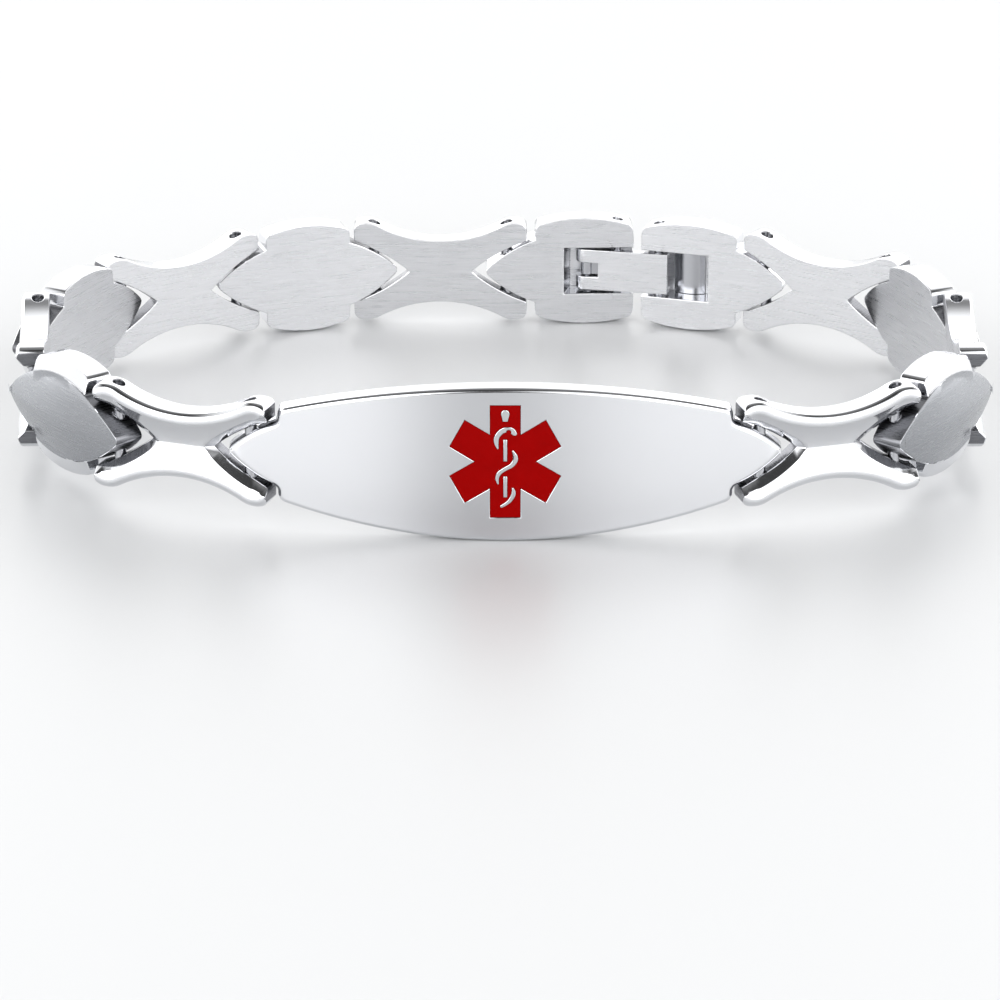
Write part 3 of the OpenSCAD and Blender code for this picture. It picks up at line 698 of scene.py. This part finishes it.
for y, radius in ((side_y, SIDE_ROUND), (root_y, ROOT_ROUND)):
    for x in (side_x, -side_x):
        pick(plate, "edges", standing(x, y))
        bpy.ops.mesh.bevel(offset=radius, segments=5, affect="EDGES")
clear_bench()
tell(plate)

# %% Bent on a ring, with a rounded rim
PLATE_BEND_R = 70
RIM_W = 0.38
CORNER_CLEAR = 0.6  # no cuts this near to the shoulders
bend_z = -math.sqrt(PLATE_BEND_R ** 2 - PLATE_PITCH ** 2 / 4)
bow_cuts = [x for x, y in bow[1:-1] if abs(x) < side_x - CORNER_CLEAR]
nose_cuts = [side * x for x, y in nose[1:] for side in (1, -1)]
for x in bow_cuts + nose_cuts:
    pick(plate)
    bpy.ops.mesh.bisect(plane_co=(x, 0, 0), plane_no=(1, 0, 0))
pick(plate)
bpy.ops.mesh.remove_doubles(threshold=1e-3)
form = bmesh.from_edit_mesh(plate.data)
for vertex in form.verts:
    ring = PLATE_BEND_R + (PLATE_T / 2 if vertex.co.z > PLATE_T / 2 else -PLATE_T / 2)
    vertex.co.z = bend_z + math.sqrt(ring ** 2 - vertex.co.x ** 2)
bmesh.update_edit_mesh(plate.data)
clear_bench()
pick(plate, "edges", lambda e: len(e.link_faces) == 2 and max(f.normal.z for f in e.link_faces) > 0.8
     and min(abs(f.normal.z) for f in e.link_faces) < 0.4)
bpy.ops.mesh.bevel(offset=RIM_W, segments=4, affect="EDGES", clamp_overlap=False)
clear_bench()
for side in (1, -1):
    bore(plate, side * PLATE_PITCH / 2, PIN_D)
tell(plate)

# %% [markdown]
# ## The emblem
# The sign is a star of six bars, sunk into the plate and filled with enamel, and a
# staff and a snake stand in it as bare metal. They could be laid on afterwards. But
# on the real plate they are left standing when the star is cut. So a cutter is made
# first, a star with ribbons taken out of it, and it is then cut from the plate.

# %% The star
STAR, STAR_BAR = 8.5, 2.35  # from tip to tip, and the width of a bar
STAR_STRETCH, STAR_RISE = 1.07, 0.3  # it is taller than wide, and sits above the middle
RECESS = 0.45
plate_top = bend_z + PLATE_BEND_R + PLATE_T / 2
recess_floor = plate_top - RECESS
inner_corner = STAR_BAR / 2 / math.tan(math.radians(30))
star_line = []
for k in range(6):
    arm = Matrix.Rotation(math.radians(60 * k), 2)
    for p in ((STAR_BAR / 2, inner_corner), (STAR_BAR / 2, STAR / 2), (-STAR_BAR / 2, STAR / 2)):
        x, y = arm @ Vector(p)
        star_line.append((x, STAR_RISE + STAR_STRETCH * y))
recess = block("recess", star_line, recess_floor, plate_top + PAST)
tell(recess)

# %% [markdown]
# The snake is drawn as three ribbons, from a few points with a width at each, joined
# by a smooth curve. Places and widths are in hundredths of the star's height.

# %% The snake's points
SNAKE = [
    [(10.35, 24.47, 1.88), (8.24, 25.18, 4.47), (4.71, 28.24, 4.94), (-2.35, 27.41, 4.71),
     (-7.29, 22.35, 4.47), (-8, 17.06, 4), (-6.59, 11.18, 1.18)],
    [(6.59, 9.88, 1.41), (9.41, 2.94, 4.24), (5.88, -3.18, 4), (0, -6.47, 3.53),
     (-5.41, -10.35, 3.76), (-7.29, -15.06, 3.06), (-6.35, -20.24, 1.18)],
    [(6.59, -23.29, 1.41), (7.53, -28.47, 3.76), (3.53, -35.53, 3.29), (-4.24, -40.47, 2.35)]]
hundredth = STAR / 100


def figure_y(y):
    """Height on the plate of a place on the figure, which is as tall as the star"""
    return STAR_RISE + STAR_STRETCH * hundredth * y


print("the snake is about", round(SNAKE[0][2][2] * hundredth, 2), "mm wide")

# %% A smooth curve, and a ribbon along it
def smooth_line(rows, n=4):
    """A curve through all points, with n steps from each to the next"""
    rows = [Vector((x * hundredth, figure_y(y), width * hundredth)) for x, y, width in rows]
    line = []
    for i in range(len(rows) - 1):
        a, b, c, d = rows[max(0, i - 1)], rows[i], rows[i + 1], rows[min(len(rows) - 1, i + 2)]
        for t in [k / n for k in range(n)]:
            line.append(b + (c - a) * t / 2 + (2 * a - 5 * b + 4 * c - d) * t ** 2 / 2
                        + (3 * (b - c) + d - a) * t ** 3 / 2)
    return line + [rows[-1]]


def ribbon(rows):
    """The outline of a ribbon: up one side of its line and back along the other"""
    line = smooth_line(rows)
    sides = []
    for way in (1, -1):
        for i, point in enumerate(line):
            a, b = line[max(0, i - 1)], line[min(len(line) - 1, i + 1)]
            across = Vector((a.y - b.y, b.x - a.x)).normalized()
            sides.append(point.xy + way * point.z / 2 * across)
    n = len(line)
    return [(p.x, p.y) for p in sides[:n] + list(reversed(sides[n:]))]


print("points round each ribbon:", [len(ribbon(rows)) for rows in SNAKE])

# %% The snake, left standing
def left_standing(line):
    """Takes a shape out of the cutter, so that it stays as metal"""
    joined(recess, block("standing", line, recess_floor - PAST, plate_top + 2 * PAST), "DIFFERENCE")


for rows in SNAKE:
    left_standing(ribbon(rows))
tell(recess)

# %% Staff, knob and eye
STAFF_W = 0.28
KNOB_R, KNOB_FOOT_W = 0.32, 0.364
EYE_R = 0.2
STAFF = [(figure_y(19.53), figure_y(0.24)), (figure_y(-13.18), figure_y(-31.76))]
knob_y = figure_y(42.35)
neck_y = knob_y - 7.29 * hundredth
half_w = STAFF_W / 2
for top_y, low_y in STAFF:
    left_standing([(-half_w, low_y), (half_w, low_y), (half_w, top_y), (-half_w, top_y)])
half_circle = [math.radians(a) for a in range(0, 181, 15)]
knob = [(KNOB_R * math.cos(a), knob_y + KNOB_R * math.sin(a)) for a in half_circle]
left_standing(knob + [(-KNOB_FOOT_W / 2, neck_y), (KNOB_FOOT_W / 2, neck_y)])
clear_bench()
eye_at = (3.06 * hundredth, figure_y(26.12), (plate_top + PAST + recess_floor) / 2)
bpy.ops.mesh.primitive_cylinder_add(vertices=24, radius=EYE_R, depth=plate_top + PAST - recess_floor,
                                    location=eye_at)
joined(recess, bpy.context.object, "UNION")
tell(recess)

# %% The star, cut from the plate
joined(plate, recess, "DIFFERENCE")
eased(plate, 0.04)

# %% [markdown]
# ## Colours and nodes
# A finish is a small tree of nodes round one shader. Colours are written as sRGB hex
# values, as a paint program shows them, and one function turns them to the linear
# values that the shader works in. Another small function adds any node with its
# settings and links. Each piece will carry its bench place in an attribute, flat_place,
# in millimetres, so a brushed pattern runs along each link however it is turned.

# %% Colours, nodes and new finishes
def linear(hex_colour):
    """The linear colour and opacity of an sRGB hex value"""
    parts = [int(hex_colour[i:i + 2], 16) / 255 for i in (1, 3, 5)]
    return [c / 12.92 if c <= 0.04045 else ((c + 0.055) / 1.055) ** 2.4 for c in parts] + [1]


def add_node(material, kind, inputs={}, **settings):
    """Adds a node. An input that is another node's output is linked, any other is set"""
    tree = material.node_tree
    made = tree.nodes.new(kind)
    for key, value in settings.items():
        setattr(made, key, value)
    for key, value in inputs.items():
        if isinstance(value, bpy.types.NodeSocket):
            tree.links.new(value, made.inputs[key])
        else:
            made.inputs[key].default_value = value
    return made


def new_finish(name, sockets):
    """A material whose shader has these sockets set"""
    material = bpy.data.materials.new(name)
    material.use_nodes = True
    shader = material.node_tree.nodes["Principled BSDF"]
    for key, value in sockets.items():
        shader.inputs[key].default_value = value
    return material, shader


print("mid grey, linear:", [round(c, 3) for c in linear("#808080")[:3]])

# %% [markdown]
# ## Polished steel
# Stainless steel, ground and buffed on a soft wheel. To the eye it is a slightly hazy
# mirror, in which the light and dark of the room have soft borders. It could be a
# plain mirror, but that looks like glass or chrome. The wheel leaves haze in clouds
# about 3 mm across, and waves 0.3 mm across that are too shallow to feel.

# %% Polished stainless steel: a soft mirror with faint clouds of haze
CLOUDS_PER_MM = 0.35
WAVES_PER_MM = 3
polished, shader = new_finish("polished_stainless_steel", {"Metallic": 1, "Base Color": linear("#dddee1")})
place = add_node(polished, "ShaderNodeAttribute", attribute_name="flat_place").outputs["Vector"]
clouds = add_node(polished, "ShaderNodeTexNoise", {"Vector": place, "Scale": CLOUDS_PER_MM, "Detail": 3})
haze = add_node(polished, "ShaderNodeMapRange", {
    "Value": clouds.outputs["Fac"], "From Min": 0.3, "From Max": 0.7, "To Min": 0.09, "To Max": 0.14})
polished.node_tree.links.new(haze.outputs["Result"], shader.inputs["Roughness"])
waves = add_node(polished, "ShaderNodeTexNoise", {"Vector": place, "Scale": WAVES_PER_MM, "Detail": 4})
bump = add_node(polished, "ShaderNodeBump", {
    "Height": waves.outputs["Fac"], "Strength": 0.02, "Distance": 0.05 * MM})
polished.node_tree.links.new(bump.outputs["Normal"], shader.inputs["Normal"])
print(polished.name, "has", len(polished.node_tree.nodes), "nodes")

# %% [markdown]
# ## Brushed steel
# The same steel, drawn over an abrasive belt. It scatters light across its lines, so
# it looks pale grey and silky, with streaks a few millimetres long. Anisotropic gloss
# is one way to show that. Stretched noise is another, and it shows the single streaks
# too. Real lines are 0.02 to 0.05 mm apart, too fine for the picture, so they are
# drawn about 0.1 mm apart.

# %% One recipe for all brushed steel
def brushed_finish(name, tones, per_mm, gloss, depth):
    """Noise drawn out into lines, which sets colour, roughness and a little height.
    per_mm is how fine it is along the link, across it and through it"""
    material, shader = new_finish(name, {"Metallic": 1})
    place = add_node(material, "ShaderNodeAttribute", attribute_name="flat_place").outputs["Vector"]
    drawn_out = add_node(material, "ShaderNodeMapping", {"Vector": place, "Scale": per_mm})
    lines = add_node(material, "ShaderNodeTexNoise", {
        "Vector": drawn_out.outputs["Vector"], "Scale": 1, "Detail": 5, "Roughness": 0.65}).outputs["Fac"]
    rough = add_node(material, "ShaderNodeMapRange", {
        "Value": lines, "From Min": 0.3, "From Max": 0.7, "To Min": gloss[0], "To Max": gloss[1]})
    tone = add_node(material, "ShaderNodeMix", {
        "Factor": lines, "A": linear(tones[0]), "B": linear(tones[1])}, data_type="RGBA")
    bump = add_node(material, "ShaderNodeBump", {"Height": lines, "Strength": 0.5, "Distance": depth * MM})
    links = material.node_tree.links
    links.new(rough.outputs["Result"], shader.inputs["Roughness"])
    links.new(tone.outputs["Result"], shader.inputs["Base Color"])
    links.new(bump.outputs["Normal"], shader.inputs["Normal"])
    print(name, "has", len(material.node_tree.nodes), "nodes")
    return material


# %% Brushed along the chain: pale and silky, for all inner faces
brushed = brushed_finish("steel_brushed_along", ("#cfd0d3", "#f0f0f2"), (0.25, 9, 9), (0.22, 0.4), 0.02)

# %% Milled through the link: streaked walls in notches, horn ends and pin holes, with painted shade in their dark colour
# Milling leaves the same fine marks, but from face to face. Less light gets in there, and that shade is
# painted into the two dark tones.
milled_painted_shade = brushed_finish("steel_milled_painted_shade", ("#606165", "#8c8d91"), (9, 9, 0.4),
                                 (0.22, 0.36), 0.02)

# %% Satin: the leaves' even grey, with lines hardly deeper than their own gloss
# A fine pad on a polished face. Its lines are about 0.15 mm apart here, coarser than
# the real 0.03 mm, so that they show at all.
satin = brushed_finish("steel_satin", ("#9a9ca0", "#acaeb2"), (0.4, 7, 7), (0.22, 0.3), 0.008)

# %% [markdown]
# ## Enamel
# The star is filled with opaque red enamel and ground level with the plate. To the
# eye it is a deep red that hardly shines, with clouds about 1 mm across where the
# colour lay thicker. A glossy coat would be the usual way to show glass, but here it
# would wash the red out.

# %% Red enamel: deep, even and nearly dull
CLOUDS_PER_METRE = 900
enamel, shader = new_finish("red_enamel", {
    "Base Color": linear("#890000"), "Roughness": 0.3, "Specular IOR Level": 0.04})
where = add_node(enamel, "ShaderNodeTexCoord").outputs["Object"]
clouds = add_node(enamel, "ShaderNodeTexNoise", {"Vector": where, "Scale": CLOUDS_PER_METRE, "Detail": 2})
red = add_node(enamel, "ShaderNodeMix", {
    "Factor": clouds.outputs["Fac"], "A": linear("#840000"), "B": linear("#910101")}, data_type="RGBA")
enamel.node_tree.links.new(red.outputs["Result"], shader.inputs["Base Color"])
print(enamel.name, "has", len(enamel.node_tree.nodes), "nodes")

# %% [markdown]
# ## Pin steel
# Pins, hinge and spring are drawn wire and strip, left as they come. To the eye they
# are a little duller and greyer than the links, with spots about 0.3 mm across that
# catch the light unevenly.

# %% Pin steel: plain drawn wire
SPOTS_PER_METRE = 3000
pin_steel, shader = new_finish("pin_steel", {"Metallic": 1, "Base Color": linear("#b9babe")})
where = add_node(pin_steel, "ShaderNodeTexCoord").outputs["Object"]
spots = add_node(pin_steel, "ShaderNodeTexNoise", {"Vector": where, "Scale": SPOTS_PER_METRE, "Detail": 2})
haze = add_node(pin_steel, "ShaderNodeMapRange", {
    "Value": spots.outputs["Fac"], "To Min": 0.14, "To Max": 0.3})
pin_steel.node_tree.links.new(haze.outputs["Result"], shader.inputs["Roughness"])
print(pin_steel.name, "has", len(pin_steel.node_tree.nodes), "nodes")

# %% [markdown]
# ## Which face gets which finish
# One block of steel carries all finishes of a link, and the tool that touched a face
# last decides how it looks; walls where shade falls also get painted shade. Painting
# them by hand would have to be done again after each change of shape. So each finish
# has a test on where a face lies and which way it looks, and the first test that fits
# gives the face its finish.

# %% Giving finishes to faces
def give(piece, rules):
    """Gives each face of a piece the first finish whose test it passes"""
    piece.data.materials.clear()
    for finish, _ in rules:
        piece.data.materials.append(finish)
    used = [0] * len(rules)
    for face in piece.data.polygons:
        tests = [test(face.center, face.normal) for _, test in rules]
        face.material_index = tests.index(True)
        used[face.material_index] += 1
    print(piece.name, "faces per finish:", used)


# %% Tests that several pieces share
EDGE_ROOM = 0.04  # a satin leaf stops this far inside its outline
BORE_ROOM = 0.1


def anywhere(at, way):
    return True


def inner_face(at, way):
    return way.z < -0.9


def wall(way):
    return abs(way.z) < 0.3


def in_bore(at, way, x, radius):
    return abs(way.y) < 0.85 and math.hypot(at.x - x, at.z) < radius + PIN_PLAY + BORE_ROOM


def on_leaf(at, way, leaf_x=0):
    return way.z > 0.6 and abs(at.y) < blade_y(at.x - leaf_x) - EDGE_ROOM and at.z > EDGE + 0.1


inward = Vector((0, 0, -1))
print("is a face that looks inwards an inner face?", inner_face(Vector(), inward))

# %% Finishes of the cross link: painted shade on the walls in notches, horn ends and pin holes
def cross_bore(at, way):
    return any(in_bore(at, way, side * CROSS_PITCH / 2, PIN_D / 2) for side in (1, -1))


def notch_wall(at, way):
    inside = abs(at.x) > NOTCH_X - 0.05 and abs(at.y) < MOUTH_Y + 0.05
    return wall(way) and inside and way.x * at.x > 0


def horn_end(at, way):
    return abs(way.x) > 0.97 and abs(at.x) > HORN_END - 0.05


# Pin holes, notch walls and horn ends get the milled finish, darkened with painted shade.
give(cross, [(brushed, inner_face), (milled_painted_shade, cross_bore), (milled_painted_shade, notch_wall),
             (milled_painted_shade, horn_end), (polished, anywhere)])

# %% Finishes of the leaf link: satin on the leaf, painted shade on its noses' walls
def nose_wall(at, way):
    return wall(way) and abs(at.x) > LEAF_BODY / 2 + 0.1 and abs(at.y) < blade_y(at.x) + 0.05


# The nose walls get the milled finish, darkened with painted shade.
give(leaf, [(brushed, inner_face), (milled_painted_shade, nose_wall), (satin, on_leaf), (polished, anywhere)])

# %% Finishes of clasp link, plate and lever
def clasp_bore(at, way):
    return abs(at.y) > 2.1 and in_bore(at, way, CLASP_PITCH / 2, CLASP_PIN_D / 2)


# The clasp pin's hole walls get the milled finish, darkened with painted shade.
give(clasp, [(brushed, inner_face), (milled_painted_shade, clasp_bore),
             (satin, lambda at, way: on_leaf(at, way, clasp_leaf_x)), (polished, anywhere)])
give(plate, [(brushed, inner_face), (polished, anywhere)])
give(lever, [(brushed, inner_face), (polished, anywhere)])

# %% [markdown]
# ## The pins
# Short lengths of wire with softened ends, pressed into the horns. Only the ends
# show, a little below the horns' backs. A cylinder is the right start for wire, and
# its ends are then rounded by a bevel.

# %% One pin for the chain
PIN_SUNK = 0.4
horn_y = back_at.y + math.sqrt(HORN_R ** 2 - (CROSS_PITCH / 2 - back_at.x) ** 2)
clear_bench()
bpy.ops.mesh.primitive_cylinder_add(vertices=32, radius=PIN_D / 2, depth=2 * (horn_y - PIN_SUNK),
                                    rotation=(math.pi / 2, 0, 0))
link_pin = bpy.context.object
link_pin.name = "link_pin"
take_up(link_pin)
bpy.ops.object.transform_apply(location=False, rotation=True, scale=False)
eased(link_pin, 0.1, angle=40, segments=3)
link_pin.data.materials.append(pin_steel)

# %% [markdown]
# ## Hanging the links
# On the real bracelet a link has no place of its own: it lies between two pins. So
# each is hung between two pins of the frame. The loop could be bent along a curve
# instead, but then links and pins would drift apart. The whole loop leans a little,
# because the plate is taller than the links behind it, and its lean is measured from
# a front pin to a back pin.

# %% How the loop leans
front_to_back = pin_at("link_pin_7") - pin_at("link_pin_1")
lean = math.atan2(-front_to_back.z, front_to_back.y)
up = Vector((0, math.sin(lean), math.cos(lean)))
print("the loop leans, degrees:", round(math.degrees(lean), 3))

# %% From the bench to a place between two pins
def hung(origin, start, end):
    """The turn and place that take a piece from the bench to the line from start to end"""
    along = (end - start).normalized()
    outward = along.cross(up)
    place = Matrix((along, up, outward)).transposed().to_4x4()
    place.translation = origin
    return place @ Matrix.Scale(MM, 4)


def between(start_pin, end_pin):
    """The place half way between two pins"""
    a, b = pin_at(start_pin), pin_at(end_pin)
    return hung((a + b) / 2, a, b)


facing = between("link_pin_14", "link_pin_1").col[2].xyz.normalized()
print("the plate faces:", [round(c, 3) for c in facing])

# %% [markdown]
# Each piece was made once and is now copied, each copy with its own mesh, and its
# bench place is kept in flat_place first. A mirrored copy has its faces turned inside
# out, so they are flipped back. Each copy stands for one solid of the frame, takes
# its place and rides on its body.


def placed(piece, place, node, mirrored=False):
    """A copy of a piece, hung at a place, that stands for a node of the frame"""
    copy = bpy.data.objects.new(node + "_finished", piece.data.copy())
    bpy.context.collection.objects.link(copy)
    mesh = copy.data
    flat = mesh.attributes.new("flat_place", "FLOAT_VECTOR", "POINT")
    flat.data.foreach_set("vector", [c for v in mesh.vertices for c in v.co])
    if mirrored:
        place = place @ Matrix.Scale(-1, 4, (1, 0, 0))
    mesh.transform(place)
    if mirrored:
        mesh.flip_normals()
    take_up(copy)
    bpy.ops.object.shade_smooth_by_angle(angle=math.radians(20))
    applied(copy, "WEIGHTED_NORMAL", keep_sharp=True, weight=80)
    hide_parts(node)
    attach(copy, "clasp_lever" if node == "clasp_lever" else "bracelet")
    print(copy.name, "at, mm:", in_mm(place.translation))


# %% The chain, link by link
CHAIN = {"x_link_1": (1, 2), "leaf_link_1": (2, 3), "x_link_2": (3, 4), "leaf_link_2": (4, 5),
         "x_link_3": (5, 6), "x_link_4": (7, 8), "leaf_link_3": (8, 9), "x_link_5": (9, 10),
         "leaf_link_4": (10, 11), "x_link_6": (11, 12), "leaf_link_5": (12, 13), "x_link_7": (13, 14)}
CREASE_AT_START = ("leaf_link_3", "leaf_link_4", "leaf_link_5")
for node, (a, b) in CHAIN.items():
    link = cross if node.startswith("x") else leaf
    placed(link, between(f"link_pin_{a}", f"link_pin_{b}"), node, mirrored=node in CREASE_AT_START)

# %% Plate, clasp and lever
placed(plate, between("link_pin_14", "link_pin_1"), "id_plate")
placed(clasp, between("link_pin_6", "clasp_pin_right"), "clasp_link_right")
placed(clasp, between("clasp_pin_left", "link_pin_7"), "clasp_link_left", mirrored=True)
hinge, catch = pin_at("clasp_hinge_pin"), pin_at("clasp_pin_right")
placed(lever, hung(hinge, catch, hinge), "clasp_lever")

# %% The pins of the chain, and a cleared bench
for k in range(1, 15):
    at = pin_at(f"link_pin_{k}")
    placed(link_pin, hung(at, at, at + Vector((1, 0, 0))), f"link_pin_{k}")
for spare in (cross, leaf, plate, clasp, lever, link_pin):
    bpy.data.objects.remove(spare)

# %% [markdown]
# ## What stays as measured
# The enamel lies flush in the star, and the clasp's pins, hinge block and spring
# leaf are small plain parts. They could be modelled again, but they are right as they
# come with the frame, so they only get their finishes.

# %% Enamel and small parts
def refinished(node, finish):
    """Puts a finish on a part of the frame"""
    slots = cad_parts[node].data.materials
    slots.clear()
    slots.append(finish)
    print(node, "is now", finish.name)


refinished("star_enamel", enamel)
for node in ("clasp_pin_right", "clasp_pin_left", "clasp_hinge", "clasp_hinge_pin", "clasp_spring"):
    refinished(node, pin_steel)

# %% [markdown]
# ## The floor
# A sheet of white acrylic, as is used for small bright things. To the eye it is a
# pale grey that fades into the light, with a dim mirror image under the plate. Paper
# would be simpler, but it would throw less light up on the plate's face.

# %% A sheet of glossy acrylic
clear_bench()
bpy.ops.mesh.primitive_plane_add(size=4, location=(0, 0, 0))
floor = bpy.context.object
floor.name = "floor"
acrylic, shader = new_finish("white_acrylic_floor", {
    "Base Color": linear("#d4d5d6"), "Roughness": 0.36, "IOR": 1.9})
floor.data.materials.append(acrylic)
print("floor, metres:", list(floor.dimensions))

# %% [markdown]
# ## The light
# Polished metal shows what stands round it, and lamps would show in it as hard spots.
# So the light is a ring of large soft panels far away, painted into the world as
# round spots with soft rims. Three stand behind and make the pale background, and a
# dim one hangs overhead. Two stand in front, left and right, and the gap between them
# is the grey band in the middle of the plate. The last two light the side links.

# %% The world that holds the light
bpy.context.scene.view_settings.view_transform = "Standard"
world = bpy.data.worlds.new("studio")
bpy.context.scene.world = world
world.use_nodes = True
looking = add_node(world, "ShaderNodeTexCoord").outputs["Generated"]
background = world.node_tree.nodes["Background"]
background.inputs["Color"].default_value = (1, 1, 1, 1)
print("colours are shown as:", bpy.context.scene.view_settings.view_transform)

# %% Soft round panels
# Each row has a compass angle, 0 on the camera's side and 90 on the right, a height,
# the angles from its middle at which it starts to fade and is dark, and its strength.
ROOM_LIGHT = 0.06
PANELS = [
    (180, 20, 24, 52, 1.55),  # behind
    (138, 12, 16, 38, 1.5),
    (-138, 12, 16, 38, 1.5),
    (180, 78, 8, 40, 0.25),  # overhead
    (-40, 20, 20, 34, 3.1),  # in front, left
    (42, 20, 18, 42, 2.8),  # in front, right
    (-102, 16, 18, 42, 1.3),  # left
    (102, 16, 18, 42, 1.3)]  # right


def soft_panel(compass, height, bright_to, dark_from, brightness):
    """How much light one panel sends from the way that is looked at"""
    a, h = math.radians(compass), math.radians(height)
    way = (math.sin(a) * math.cos(h), -math.cos(a) * math.cos(h), math.sin(h))
    nearness = add_node(world, "ShaderNodeVectorMath", {0: looking, 1: way}, operation="DOT_PRODUCT")
    return add_node(world, "ShaderNodeMapRange", {
        "Value": nearness.outputs["Value"], "From Min": math.cos(math.radians(dark_from)),
        "From Max": math.cos(math.radians(bright_to)), "To Min": 0, "To Max": brightness},
        interpolation_type="SMOOTHSTEP").outputs["Result"]


light = ROOM_LIGHT
for panel in PANELS:
    light = add_node(world, "ShaderNodeMath", {0: light, 1: soft_panel(*panel)}).outputs["Value"]
world.node_tree.links.new(light, background.inputs["Strength"])
print("panels:", len(PANELS))
